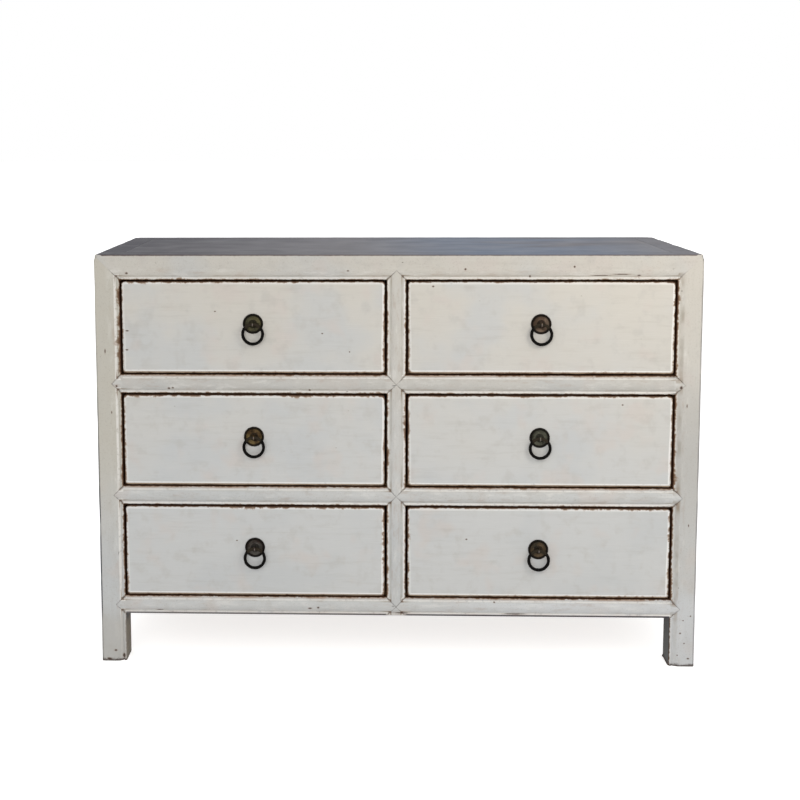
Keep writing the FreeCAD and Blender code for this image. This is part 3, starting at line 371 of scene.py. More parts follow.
# Each back plate has aged to colours of its own: a warmer and a duller one
PLATE_COLOURS = {
    "drawer_top_left": (linear(90, 85, 60), linear(66, 64, 48)),
    "drawer_top_right": (linear(112, 96, 82), linear(86, 70, 58)),
    "drawer_middle_left": (linear(110, 93, 60), linear(88, 68, 44)),
    "drawer_middle_right": (linear(100, 100, 86), linear(76, 76, 66)),
    "drawer_bottom_left": (linear(76, 73, 69), linear(64, 52, 48)),
    "drawer_bottom_right": (linear(88, 73, 56), linear(62, 58, 48)),
}


def larger(first, second):
    return first.math("MAXIMUM", second)


def smaller(first, second):
    return first.math("MINIMUM", second)


def far(value, centre):
    """How far the value lies from a centre."""
    return abs(value - centre)


class Value:
    """What comes out of a shader node, worked on with the usual signs. Each use adds a node."""

    def __init__(self, graph, socket):
        self.graph = graph
        self.socket = socket

    def math(self, operation, *others):
        return self.graph.node("ShaderNodeMath", [self, *others], operation=operation)

    def __add__(self, other):
        return self.math("ADD", other)

    def __sub__(self, other):
        return self.math("SUBTRACT", other)

    def __rsub__(self, other):
        return self * -1.0 + other

    def __mul__(self, other):
        return self.math("MULTIPLY", other)

    def __truediv__(self, other):
        return self.math("DIVIDE", other)

    def __abs__(self):
        return self.math("ABSOLUTE")

    def step(self, low, high):
        """Rises smoothly from 0 at low to 1 at high, or falls where high is the lower."""
        inputs = [self, low, high]
        return self.graph.node("ShaderNodeMapRange", inputs, interpolation_type="SMOOTHSTEP")

    def between(self, first, second):
        """The first value where this one is 0, the second where it is 1."""
        return self.graph.node("ShaderNodeMapRange", [self, 0.0, 1.0, first, second])

    def coated(self, layers):
        """This colour with others laid over it in turn, each as thickly as its share says."""
        colour = self
        for over, share in layers:
            colour = self.graph.mix(share, colour, over)
        return colour


class Graph:
    """A tree of shader nodes."""

    def __init__(self, tree):
        self.tree = tree

    def feed(self, socket, value):
        if isinstance(value, Value):
            self.tree.links.new(value.socket, socket)
        elif value is not None:
            socket.default_value = value

    def node(self, kind, inputs=(), output=0, **settings):
        """Adds a node, feeds its inputs, in their order or by name, and gives one output."""
        made = self.tree.nodes.new(kind)
        for name, value in settings.items():
            setattr(made, name, value)
        pairs = inputs.items() if isinstance(inputs, dict) else enumerate(inputs)
        for key, value in pairs:
            self.feed(made.inputs[key], value)
        return Value(self, made.outputs[output])

    def mix(self, share, first, second):
        """The first colour where the share is 0, the second where it is 1."""
        inputs = dict(zip(MIX_SOCKETS, [share, first, second]))
        return self.node("ShaderNodeMix", inputs, MIX_RESULT, data_type="RGBA")

    def seen_directly(self):
        """1 for what the camera and reflections see, 0 for the light that falls on things."""
        rays = ["Is Camera Ray", "Is Glossy Ray", "Is Transmission Ray"]
        camera_ray, glossy_ray, clear_ray = [self.node("ShaderNodeLightPath", (), ray) for ray in rays]
        return larger(larger(camera_ray, glossy_ray), clear_ray)


class Finish(Graph):
    """The nodes of a material, and the place of the point that they colour."""

    def __init__(self, name, gloss):
        self.material = bpy.data.materials.new(name)
        self.material.use_nodes = True
        super().__init__(self.material.node_tree)
        self.shader = self.tree.nodes["Principled BSDF"]
        self.shader.inputs["Specular IOR Level"].default_value = gloss
        self.place = self.node("ShaderNodeTexCoord", (), "Object")
        parts = [self.node("ShaderNodeSeparateXYZ", [self.place], axis) for axis in "XYZ"]
        self.x, self.y, self.z = parts

    def stretch(self, along, length, seed=0.0):
        """The place, drawn out along one axis, so that a texture there runs in streaks."""
        scale = [1.0, 1.0, 1.0]
        scale[along] = 1.0 / length
        inputs = {"Vector": self.place, "Location": (seed, seed, seed), "Scale": scale}
        return self.node("ShaderNodeMapping", inputs)

    def noise(self, vector, scale, detail=2.0, roughness=0.5):
        inputs = {"Vector": vector, "Scale": scale, "Detail": detail, "Roughness": roughness}
        return self.node("ShaderNodeTexNoise", inputs)

    def spots(self, vector, scale):
        """The distance to the nearest of scattered points."""
        return self.node("ShaderNodeTexVoronoi", {"Vector": vector, "Scale": scale}, "Distance")

    def attribute(self, name):
        return self.node("ShaderNodeAttribute", (), "Fac", attribute_name=name)

    def bump(self, height, strength, distance):
        return self.node("ShaderNodeBump", {"Strength": strength, "Distance": distance, "Height": height})

    def finish(self, colour, roughness, normal=None, metallic=None):
        values = {"Base Color": colour, "Roughness": roughness, "Normal": normal, "Metallic": metallic}
        for name, value in values.items():
            self.feed(self.shader.inputs[name], value)
        return self.material


class Paint(Finish):
    """A paint, and where a point lies by the nearest drawer opening.

    beside and above say how far it lies outside the opening, across and up, and height how far
    above its middle. The lower edge of the bottom rail counts as an edge too, as its moulding turns
    round there."""

    def __init__(self, name, gloss, along):
        super().__init__(name, gloss)
        self.along = along
        level = (self.z - MIDDLE) / ROW_STEP
        row = smaller(larger(level.math("ROUND"), -1.0), 1.0)
        self.height = self.z - (row * ROW_STEP + MIDDLE)
        self.beside = far(abs(self.x), COLUMN) - HALF_OPENING_X
        self.above = smaller(abs(self.height) - HALF_OPENING_Z, self.z - LEG)
        # Each piece's seed moves the textures, so that no pattern runs on from piece to piece
        self.place = self.node("ShaderNodeVectorMath", [self.place, self.attribute("seed")])
        self.ragged = self.noise(self.place, 130.0, 3.0, 0.7)


class CasePaint(Paint):
    """The paint of the case, and the parts of its front."""

    def __init__(self, name, gloss, along):
        super().__init__(name, gloss, along)
        self.wander = self.noise(self.place, 21.0, 2.0, 0.55)
        self.rim = larger(self.beside, self.above)
        self.outer = HALF_WIDTH - abs(self.x)
        self.on_front = self.y.step(*ON_FRONT)
        self.on_upright = self.beside.step(*PAST_EDGE)
        self.left_post = self.x.step(-COLUMN, -COLUMN - EDGE_BLUR) * self.on_upright
        self.right_post = self.x.step(COLUMN, COLUMN + EDGE_BLUR) * self.on_upright
        self.upright = (self.beside - self.above).step(-EDGE_BLUR, EDGE_BLUR)
        self.under = self.height.step(*UNDER_DRAWER)


def inside_of_case(paint):
    """1 on wood that only shows from inside the chest, where nobody painted it."""
    deep = paint.y.step(*INSIDE_FRONT) * paint.y.step(*INSIDE_BACK)
    deep = deep * paint.z.step(*INSIDE_TOP)
    return deep * abs(paint.x).step(*INSIDE_SIDE) * paint.z.step(*INSIDE_LOW)


def wood_rings(graph, along, seed):
    return graph.noise(graph.stretch(along, 22.0, seed), 95.0, 3.0, 0.62)


def wood_colour(graph, along, seed):
    """Bare elm with its grain along one axis."""
    broad = graph.noise(graph.stretch(along, 7.0, seed + 3.0), 16.0, 2.0)
    colour = graph.mix(wood_rings(graph, along, seed).step(0.36, 0.66), ELM_DARK, ELM)
    return colour.coated([(ELM_GREY, broad.step(0.4, 0.8) * 0.6)])


def plain_paint(paint, old):
    """Off-white paint, yellower towards the top, partly as painted warm light from above, in faint
    blotches and brushed along one axis.

    Gives the colour, the height of the brush marks, and the patches."""
    blotch = paint.noise(paint.place, 6.5, 3.0)
    patch = paint.noise(paint.place, 15.0, 2.0, 0.6)
    cloud = paint.noise(paint.place, 34.0, 3.0, 0.6)
    streak = paint.noise(paint.stretch(paint.along, 9.0), 110.0, 3.0, 0.6)
    brush = paint.noise(paint.stretch(paint.along, 24.0, 2.0), 520.0, 2.0, 0.6)
    # Yellower towards the top: partly painted warm light from above
    colour = paint.mix((blotch * 0.5 + paint.z).step(0.55, 1.15) * 0.9, PAINT, PAINT_WARM)
    colour = colour.coated([
        (PAINT_COOL, blotch.step(0.52, 0.34) * 0.5),
        (PAINT_ROSE, patch.step(0.52, 0.72) * 0.45),
        (PAINT_OLD, cloud.step(0.5, 0.72) * 0.34),
        (GRIME_AND_SHADE, streak.step(0.5, 0.76) * 0.12),
        (BURNISH_AND_HIGHLIGHT, brush.step(0.5, 0.8) * 0.1),
        (PAINT_OLD, old),
    ])
    return colour, brush * 0.5 + streak * 0.5, patch


def rubbed_edge(paint, edge, reach):
    """Paint rubbed through to brown wood beside a gap, in a band as wide as the place is worn, and
    broken off in chips. Gives its layers and where wood shows."""
    worn = paint.attribute("worn")
    chipped = paint.attribute("bare")
    frayed = paint.noise(paint.place, 105.0, 3.0, 0.65).step(0.3, 0.72)
    least = frayed * RUBBED_FRAYED + RUBBED_LEAST
    share = larger(edge, 0.0) / (worn * ((frayed * 1.4 + 0.3) * reach) + least)
    thin = share.step(1.2, 0.75)
    broken = chipped.step(0.25, 0.6)
    layers = [
        (GLAZE, share.step(1.7, 1.0) * (worn * 0.35 + 0.15)),
        (RUBBED_THIN, thin * 0.9),
        (RUBBED, share.step(0.85, 0.4) * 0.9),
        (RUBBED_DARK, share.step(0.4, 0.1) * 0.9),
        (RUBBED, broken * 0.85),
        (RUBBED_DARK, chipped.step(0.55, 0.95) * 0.8),
    ]
    return layers, larger(thin, broken)


def dents(paint, mark_shares):
    """Small marks that hold dark wax. Gives their layers and where they are."""
    deepest = None
    for across_share, height_share, half_length, half_height in mark_shares:
        across = (paint.x - across_share * HALF_WIDTH) / (half_length * MM)
        height = (paint.z - height_share * TOP) / (half_height * MM)
        squares = across * across + height * height
        deepest = squares if deepest is None else smaller(deepest, squares)
    if deepest is None:
        return [], 0.0
    inside = paint.ragged * 1.6 + deepest
    dent = inside.step(1.9, 1.1)
    return [(GLAZE, inside.step(3.4, 1.6) * 0.3), (RUBBED_DARK, dent * 0.85)], dent


def specks(paint):
    """Scattered pinholes and short flecks."""
    spot = paint.spots(paint.stretch(paint.along, 1.8, 5.0), 42.0)
    return spot.step(0.05, 0.025) * paint.noise(paint.place, 11.0, 1.0).step(0.48, 0.6)


def finish_paint(paint, colour, grain, patch, shown, dent):
    height = grain - shown * 0.8 - dent * 2.5
    return paint.finish(colour, patch * 0.22 + 0.42, paint.bump(height, 0.35, PAINT_RELIEF))


def post_tints_and_shade(paint):
    """Painted light and shade, partly tints of the paint: the left post is darker and yellower above,
    away from the light, the right post and the upper rails are greyer, and the lower right of the
    front is palest."""
    aged_and_shaded = paint.left_post * paint.upright * paint.z.step(TOP / 5, TOP * 3 / 5)
    greyer = paint.z.step(TOP / 5, TOP / 2).between(0.15, 0.6)
    greyer = paint.right_post * paint.upright * greyer * paint.z.step(TOP * 3 / 4, TOP * 3 / 5)
    upper_rail = paint.z.step(TOP / 2, TOP * 3 / 5) * paint.beside.step(*ON_RAIL)
    upper_rail = upper_rail * paint.z.step(TOP * 4 / 5, TOP * 3 / 4)
    pale = paint.z.step(*PALE_LEVELS) * paint.x.step(0.0, COLUMN)
    # Tints that stand partly for painted light and shade across the front
    return [
        (PAINT_AGED_AND_SHADED, aged_and_shaded * 0.75),
        (PAINT_OLD, greyer),
        (PAINT_OLD, upper_rail * 0.3),
        (PAINT_PALE, pale * 0.3),
    ]


def mottled_front(paint):
    """Mouldings left pale in streaky patches, partly a painted highlight on their rounded faces, and
    brownish in others, and grit.
    """
    blotchy = paint.noise(paint.stretch(paint.along, 4.0, 6.0), 85.0, 4.0, 0.65)
    moulded = paint.rim.step(*MOULDING) * paint.on_front
    grit = paint.noise(paint.place, 380.0, 3.0, 0.75)
    return [
        # Pale streaks on the mouldings: partly painted highlight
        (BURNISH_AND_HIGHLIGHT, blotchy.step(0.52, 0.7) * moulded * 0.3),
        (GLAZE, blotchy.step(0.46, 0.3) * moulded * 0.25),
        (GRIME_AND_SHADE, grit.step(0.54, 0.72) * paint.on_front * 0.34),
    ]


def drawer_film(paint):
    """A thin brown film where the drawers rub the upper edge of each rail."""
    under = paint.under * paint.on_front
    wide = under * paint.above.step(*FILM_WIDE) * paint.beside.step(*FILM_ENDS)
    narrow = under * paint.above.step(*FILM_NARROW) * paint.beside.step(*ON_RAIL)
    return [
        (GLAZE, wide * paint.wander.step(0.42, 0.66) * 0.34),
        (GLAZE, narrow * paint.wander.step(0.25, 0.6) * 0.75),
    ]


def bead_crests(paint):
    """A bright crest on the bead, partly burnish and partly a painted highlight, farther out on the
    left post and under the drawers, with a darker quirk behind it, dirt and painted shade in the
    groove, that spreads most on the right post."""
    broad = larger(paint.under * paint.above.step(*PAST_EDGE), paint.left_post)
    crest_at = paint.left_post * BEAD_LEFT + (broad * BEAD_WIDER + BEAD_CREST)
    crest = far(paint.rim, crest_at) / (broad * (BEAD_WIDER / 2) + BEAD_HALF)
    faint = (paint.z.step(*LEG_FADE) * -0.6 + 1.0) * paint.on_front
    muntin_right = paint.on_upright * paint.x.step(*PAST_EDGE) * paint.x.step(COLUMN, 0.0)
    bright = paint.left_post * 0.25 + paint.right_post * -0.3 + muntin_right * 0.3 + 0.62
    quirk = far(paint.rim, paint.right_post * QUIRK_SHIFT + QUIRK)
    quirk = quirk / (paint.right_post * QUIRK_SPREAD + QUIRK_HALF)
    quirk = quirk.step(1.0, 0.2) * paint.wander.step(0.3, 0.7) * faint
    corner = (far(paint.beside, QUIRK) + far(paint.above, QUIRK)).step(*CORNER_DIRT)
    return [
        # Painted highlight on the crest, and painted shade with dirt in the quirk behind it
        (BURNISH_AND_HIGHLIGHT, crest.step(1.0, 0.3) * paint.ragged.step(0.25, 0.5) * faint * bright),
        (GRIME_AND_SHADE, quirk * (broad * -0.25 + paint.right_post * 0.2 + 0.4)),
        (RUBBED_THIN, quirk * corner * 0.8),
    ]


def bead_spots(paint):
    """Dark spots where two beads meet."""
    spot = larger(far(paint.beside, BEAD_MEETING), far(paint.above, BEAD_MEETING))
    spot = (spot - paint.ragged * SPOT_RAGGED).step(*SPOT_EDGE)
    return [(RUBBED, spot * paint.wander.step(0.42, 0.56) * paint.on_front * 0.7)]


def mitre_lines(paint):
    """Lines where the mouldings meet at 45 degrees, open near the corners and at the points, and
    the smudges round them."""
    skew = abs(paint.beside - paint.above)
    line = skew.step(*LINE_EDGE) * paint.rim.step(*LINE_START) * paint.on_front
    fading = (paint.rim - paint.ragged * LINE_RAGGED).step(*LINE_FADE)
    point = far(paint.rim, HALF_RAIL).step(*POINT_EDGE)
    point = point * paint.wander.step(0.4, 0.6) * paint.z.step(*POINT_LEVELS)
    line = line * larger(larger(fading, point), 0.05)
    top_right = paint.right_post * paint.z.step(*TOP_MITRE)
    smudge = skew.step(*SMUDGE_EDGE) * paint.rim.step(*SMUDGE_REACH) * paint.on_front
    smudge = smudge * paint.rim.step(*SMUDGE_START) * paint.ragged.step(0.38, 0.62)
    return [
        (RUBBED_DARK, line * (top_right * -0.75 + 1.0) * 0.6),
        (GRIME_AND_SHADE, smudge * 0.75),
        (RUBBED, smudge * paint.rim.step(*SMUDGE_BROWN) * 0.6),
    ]


def dark_arris_lines(paint):
    """A dark line on the outer arris of the posts and along the lower edge of the bottom rail."""
    arris = paint.outer.step(*DARK_LINE_EDGE) * paint.y.step(*DARK_LINE_FRONT) * paint.wander.step(0.2, 0.5)
    lower = paint.z.step(0.95 * TOP, 0.3 * TOP)
    arris = arris * paint.x.step(-HALF_CHANGE, HALF_CHANGE).between(lower, 0.5)
    below = paint.z.step(*DARK_LINE_LEVELS) * paint.z.step(*LEG_TOP) * paint.beside.step(*INSIDE_EDGE)
    return [(STAIN_DARK, larger(arris, below) * 0.9)]


def leg_shades(paint):
    """Painted shade on the legs: a left leg greyer than the post above it, partly as painted shade, and
    darker inner faces, the right one, which faces away from the light, darkest, with a painted
    shadow just under the rail."""
    greyer_left_leg = paint.z.step(*LEFT_LEG_LEVELS) * paint.x.step(HALF_CHANGE, -HALF_CHANGE)
    inner = paint.outer.step(*LEG_INNER) * paint.z.step(*LEG_LEVELS) * paint.y.step(*PAST_FRONT)
    dull = paint.mix(paint.x.step(-HALF_CHANGE, HALF_CHANGE), LEG_INSIDE, LEG_SHADE)
    shaded = [(LEG_SHADE, paint.wander.step(0.4, 0.65) * 0.35), (LEG_UNDER_SHADOW, paint.z.step(*UNDER_LEVELS))]
    return [(PAINT_OLD, greyer_left_leg * 0.6), (dull.coated(shaded), inner * 0.9)]


def gap_depths(paint):
    """Dark brown deep in the gaps round the drawers: partly the wood there, partly painted shade
    between the parts.
    """
    deep = paint.y.step(*PAST_FRONT) * paint.y.step(*GAP_DEEPEST)
    return [(GAP_WOOD_AND_SHADE, deep * paint.rim.step(*GAP_SIDE) * paint.z.step(*GAP_LEVELS))]


def stained_arris(paint):
    """The stain of the top, which ends on the arris in a brown line and is rubbed off at the
    corners."""
    corner = (paint.outer + (paint.y - FRONT)).step(*STAIN_CORNER)
    level = paint.z + (paint.ragged - 0.5) * STAIN_RAGGED - corner * STAIN_LOST
    return [(STAIN_BROWN, level.step(*STAIN_LINE) * 0.7), (stain_colour(paint), level.step(*STAIN_START))]


def scuffed_feet(paint):
    return [(RUBBED_DARK, (paint.z - paint.ragged * SCUFF_RAGGED).step(*SCUFF_EDGE) * 0.8)]


def painted_case(name, along, mark_shares):
    """Paint on the posts, rails and panels, worn at every arris and along the openings."""
    paint = CasePaint(name, 0.1, along)
    colour, grain, patch = plain_paint(paint, paint.z * 0.2 + 0.02)
    edge = larger(paint.rim, 1.0 - paint.on_front)
    rubbed, shown = rubbed_edge(paint, edge, paint.upright.between(RAIL_RUBBED, POST_RUBBED))
    marks, dent = dents(paint, mark_shares)
    for part in (post_tints_and_shade, mottled_front, drawer_film, bead_crests, bead_spots, mitre_lines):
        colour = colour.coated(part(paint))
    colour = colour.coated([*rubbed, *dark_arris_lines(paint), *leg_shades(paint), *marks])
    colour = colour.coated([(RUBBED_DARK, specks(paint) * 0.7)])
    for part in (gap_depths, stained_arris, scuffed_feet):
        colour = colour.coated(part(paint))
    colour = colour.coated([(wood_colour(paint, along, 7.0), inside_of_case(paint))])
    return finish_paint(paint, colour, grain, patch, shown, dent)


def drawer_edge(beside, above):
    """How far a point lies inside the outline of its drawer front, which has round corners."""
    to_side = larger(DRAWER_ROUND - beside, 0.0)
    to_end = larger(DRAWER_ROUND - above, 0.0)
    squares = to_side * to_side + to_end * to_end
    return DRAWER_ROUND - squares.math("SQRT")


def painted_drawer(name, along, mark_shares):
    """Paint on a drawer front, with a bright line inside its edges, partly polish and partly a painted
    highlight, and brown wood on them.
    """
    paint = Paint(name, 0.3, along)
    beside = HALF_DRAWER_X - HALF_OPENING_X - paint.beside
    above = HALF_DRAWER_Z - HALF_OPENING_Z - paint.above
    edge = drawer_edge(beside, above)
    colour, grain, patch = plain_paint(paint, 0.0)

    # The bright line inside the edges is strongest on the lower and right-hand edges: partly polish,
    # partly a painted highlight on the rounded arris
    right_hand = (paint.x - paint.x.math("SIGN") * COLUMN).step(-DRAWER_CREST_CHANGE, DRAWER_CREST_CHANGE)
    lower = paint.height.step(*LOWER_HALF)
    upright = (above - beside).step(-EDGE_BLUR, EDGE_BLUR)
    polish_and_highlight = upright.between(lower * 0.2 + 0.5, right_hand * 0.45 + 0.35)
    crest = far(edge, lower * DRAWER_CREST_LOWER + DRAWER_CREST_INSET).step(*DRAWER_CREST_EDGE)

    rubbed, shown = rubbed_edge(paint, edge, DRAWER_RUBBED)
    marks, dent = dents(paint, mark_shares)
    colour = colour.coated([
        (POLISH_AND_HIGHLIGHT, crest * paint.ragged.step(0.22, 0.46) * polish_and_highlight * 0.85),
        # Painted shade, brownish, along the lower edge of the drawer front
        (RUBBED_THIN, above.step(*BENEATH_SHADE) * lower * 0.95),
        *rubbed,
        *marks,
        (GRIME_AND_SHADE, specks(paint) * 0.6),
        # Dark wood with painted shade on the flanks of the drawer front, inside the gap
        (GAP_WOOD_AND_SHADE, paint.y.step(*DRAWER_FLANK)),
        (wood_colour(paint, along, 7.0), paint.y.step(*DRAWER_BARE)),
    ])
    return finish_paint(paint, colour, grain, patch, shown, dent)


def stain_colour(graph):
    """The dark stained top: long streaks, with painted reflection of the surroundings that makes it
    darker towards the left end and bluer right of the middle.
    """
    drift = graph.noise(graph.stretch(0, 3.0, 1.0), 5.0, 2.0)
    streak = graph.noise(graph.stretch(0, 45.0, 4.0), 170.0, 3.0, 0.65)
    fine = graph.noise(graph.stretch(0, 9.0, 6.0), 90.0, 2.0, 0.6)
    across = graph.x / HALF_WIDTH
    # Painted reflection: bluer right of the middle, where the glossy top mirrors its surroundings
    colour = graph.mix(far(across, 0.42).step(0.62, 0.12) * drift.step(0.2, 0.5), STAIN, STAIN_BLUE_REFLECTION)
    inward = smaller(HALF_WIDTH - abs(graph.x), BACK - graph.y)
    return colour.coated([
        (STAIN_BROWN, drift.step(0.45, 0.3) * 0.25),
        # Painted reflection: darker towards the left end
        (STAIN_DARK, across.step(-0.05, -1.0) * 0.95),
        (STAIN_DARK, fine.step(0.5, 0.7) * 0.25),
        (STAIN_WORN, streak.step(0.5, 0.78) * 0.45),
        (STAIN_BROWN, graph.y.step(*STAIN_FRONT) * 0.5),
        (STAIN_DARK, inward.step(*STAIN_ENDS) * 0.6),
    ])


def stained_top(name):
    graph = Finish(name, 0.1)
    fleck = graph.spots(graph.stretch(0, 3.0, 2.0), 60.0).step(0.06, 0.03)
    sparse = graph.noise(graph.place, 9.0, 1.0).step(0.5, 0.62)
    under = (wood_colour(graph, 0, 9.0), graph.z.step(*TOP_UNDERSIDE))
    colour = stain_colour(graph).coated([(STAIN_WORN, fleck * sparse * 0.7), under])
    streak = graph.noise(graph.stretch(0, 30.0, 8.0), 240.0, 3.0, 0.6)
    roughness = graph.noise(graph.place, 14.0, 2.0) * 0.25 + 0.38
    return graph.finish(colour, roughness, graph.bump(streak, 0.3, WOOD_RELIEF))


def bare_wood(name, along):
    graph = Finish(name, 0.25)
    stain = graph.noise(graph.place, 8.0, 3.0).step(0.55, 0.8)
    colour = wood_colour(graph, along, 2.0).coated([(RUBBED, stain * 0.35)])
    return graph.finish(colour, 0.72, graph.bump(wood_rings(graph, along, 2.0), 0.3, WOOD_RELIEF))


def pull_radius(graph):
    """How far a point lies from the axis of its drawer's pull."""
    across = far(abs(graph.x), COLUMN)
    row = ((graph.z - PLATE_MIDDLE) / ROW_STEP).math("ROUND")
    height = far(graph.z, row * ROW_STEP + PLATE_MIDDLE)
    return (across * across + height * height).math("SQRT")


def aged_brass(name, warm, dull):
    """A back plate of dull brass: a nearly black rim, a dark ring, and a greyer boss in it."""
    graph = Finish(name, 0.08)
    radius = pull_radius(graph)
    cloud = graph.noise(graph.place, 90.0, 4.0, 0.6)
    blot = graph.noise(graph.place, 45.0, 2.0, 0.5)
    fine = graph.noise(graph.place, 700.0, 2.0, 0.6)
    moat = far(radius, MOAT_RADIUS).step(*MOAT_EDGE)
    colour = graph.mix(blot.step(0.4, 0.6), dull, warm).coated([
        (BRASS_DARK, cloud.step(0.48, 0.3) * 0.7),
        (BRASS_BRIGHT, fine.step(0.55, 0.8) * 0.4),
        (BRASS_DARK, larger(moat * 0.75, radius.step(*PLATE_RIM) * 0.95)),
        (BOSS_GREY, radius.step(*BOSS_EDGE) * 0.85),
    ])
    turning = (radius * (math.tau / TURNING_PITCH)).math("SINE")
    normal = graph.bump(turning * 0.3 + fine, 0.4, BRASS_RELIEF)
    return graph.finish(colour, cloud * 0.3 + 0.36, normal, 0.35)


def dark_iron(name):
    graph = Finish(name, 0.05)
    pitted = graph.noise(graph.place, 420.0, 3.0, 0.65)
    # Painted reflection: the ring is browner where it lies over the plate, whose colour it mirrors
    plate_reflection = pull_radius(graph).step(*RING_ON_PLATE) * 0.75
    colour = graph.mix(pitted.step(0.5, 0.8) * 0.5, IRON, IRON_WORN).coated([(IRON_PLATE_REFLECTION, plate_reflection)])
    return graph.finish(colour, pitted * 0.3 + 0.45, graph.bump(pitted, 0.5, IRON_RELIEF))


def plain_floor(name, colour, shine):
    """A pale surface that the camera and reflections see nearly white, with its shadow kept."""
    graph = Finish(name, 0.1)
    graph.shader.inputs["Emission Color"].default_value = (1.0, 1.0, 1.0, 1.0)
    graph.feed(graph.shader.inputs["Emission Strength"], graph.seen_directly() * shine)
    return graph.finish(colour, 0.9)


# Mesh work

def slice_across(mesh, faces, axis, places):
    """Cuts the faces with planes across one axis, halving the list of places each time."""
    if not places or not faces:
        return
    middle = len(places) // 2
    edges = {edge for face in faces for edge in face.edges}
    verts = {vert for face in faces for vert in face.verts}
    normal, point = Vector((0, 0, 0)), Vector((0, 0, 0))
    normal[axis], point[axis] = 1.0, places[middle]
    geometry = list(verts) + list(edges) + list(faces)
    cut = bmesh.ops.bisect_plane(mesh, geom=geometry, plane_co=point, plane_no=normal, dist=SAME_POINT)
    kept = [item for item in cut["geom"] if isinstance(item, bmesh.types.BMFace)]
    below = [face for face in kept if face.calc_center_median()[axis] < places[middle]]
    above = [face for face in kept if face.calc_center_median()[axis] >= places[middle]]
    slice_across(mesh, below, axis, places[:middle])
    slice_across(mesh, above, axis, places[middle + 1:])


def even_places(low, high, pitch, seed):
    """Places between two ends, about a pitch apart and a little uneven."""
    count = max(1, round((high - low) / pitch))
    farthest = 0.22 * pitch
    places = []
    for index in range(1, count):
        drift = noise.noise(Vector((index * 7.31, seed, 0.5))) * farthest
        places.append(low + (high - low) * index / count + drift)
    return places


def worn_copy(node, piece, cuts, seed, wear):
    """A finer copy of a part's mesh, cut across where cuts say, with each point then moved by wear.

    cuts holds (axis, places). wear takes a point and its normal, and gives where the point goes,
    how bare it is and how worn the paint is there."""
    mesh = bmesh.new()
    mesh.from_mesh(frame["nodes"][node].data)
    bmesh.ops.remove_doubles(mesh, verts=mesh.verts, dist=SAME_POINT)
    bmesh.ops.dissolve_limit(mesh, angle_limit=FLAT_ANGLE, verts=mesh.verts, edges=mesh.edges)
    for axis, places in cuts:
        slice_across(mesh, list(mesh.faces), axis, sorted(places))
    mesh.normal_update()
    changes = [wear(vert.co.copy(), soft_normal(vert)) for vert in mesh.verts]
    for vert, change in zip(mesh.verts, changes):
        vert.co = change[0]
    data = bpy.data.meshes.new(piece)
    mesh.to_mesh(data)
    mesh.free()
    layers = {
        "bare": [change[1] for change in changes],
        "worn": [change[2] for change in changes],
        "seed": [seed] * len(changes),
    }
    for name, values in layers.items():
        data.attributes.new(name, "FLOAT", "POINT").data.foreach_set("value", values)
    data.shade_smooth()
    data.set_sharp_from_angle(angle=SHARP_ANGLE)
    made = bpy.data.objects.new(piece, data)
    bpy.context.scene.collection.objects.link(made)
    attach(made, BODY_OF[node])
    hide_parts(node)
    return made


def soft_normal(vert):
    """The mean of the directions that the faces round a point look in, each counted once."""
    seen = []
    for face in vert.link_faces:
        if all(face.normal.dot(other) < 0.97 for other in seen):
            seen.append(face.normal.copy())
    total = sum(seen, Vector((0, 0, 0)))
    return total.normalized() if total.length > SAME_POINT else Vector((0, 0, 0))


def wavy(place, size, seed):
    """Smooth unevenness from -1 to 1 with features of about one size."""
    return noise.noise(place / size + Vector((seed, seed * 1.7, -seed)))


def chip(place, size, seed, level):
    """0 nearly everywhere, rising to 1 in scattered short lengths."""
    value = wavy(place, size, seed)
    return min(1.0, max(0.0, (value - level) / 0.16))


def round_edge(place, walls, radius):
    """Brings a point that stands outside a rounded edge, or a ball corner, in to its surface.

    walls holds, for each wall that meets there, its axis, the way it faces and where it is."""
    inward = [(axis, way, wall - way * radius) for axis, way, wall in walls]
    reach = [(place[axis] - centre) * way for axis, way, centre in inward]
    length = math.sqrt(sum(part * part for part in reach))
    if min(reach) <= 0 or length <= radius:
        return place
    for (axis, way, centre), part in zip(inward, reach):
        place[axis] = centre + way * part * radius / length
    return place


def rim_of(place):
    """How far a point lies outside the nearest drawer opening's outline, less than 0 inside it."""
    row = max(-1, min(1, round((place.z - MIDDLE) / ROW_STEP)))
    beside = abs(abs(place.x) - COLUMN) - HALF_OPENING_X
    above = abs(place.z - MIDDLE - row * ROW_STEP) - HALF_OPENING_Z
    return max(beside, above)


def soft_radius(place, size, seed):
    """The radius that a handled arris has worn to, which drifts along it."""
    return ARRIS_SOFT + ARRIS_WORN * (0.5 + wavy(place, size, seed)) ** 2


def worn_stretches():
    """The stretches of WORN_SHARES as places: the direction across each and where it lies, the
    direction along it and its two ends, with 0 for x and 1 for z, and how worn it is."""
    stretches = []
    for row, column, side, start, end, *levels in WORN_SHARES:
        centre_x = COLUMN if column == "right" else -COLUMN
        centre_z = MIDDLE + (ROWS.index(row) - 1) * ROW_STEP
        low = [centre_x - HALF_OPENING_X, centre_z - HALF_OPENING_Z]
        high = [centre_x + HALF_OPENING_X, centre_z + HALF_OPENING_Z]
        across = 0 if side in ("left", "right") else 1
        edge = low[across] if side in ("left", "bottom") else high[across]
        length = 1 - across
        first = low[length] + start * (high[length] - low[length])
        last = low[length] + end * (high[length] - low[length])
        stretches.append((across, edge, length, first, last, levels))
    return stretches


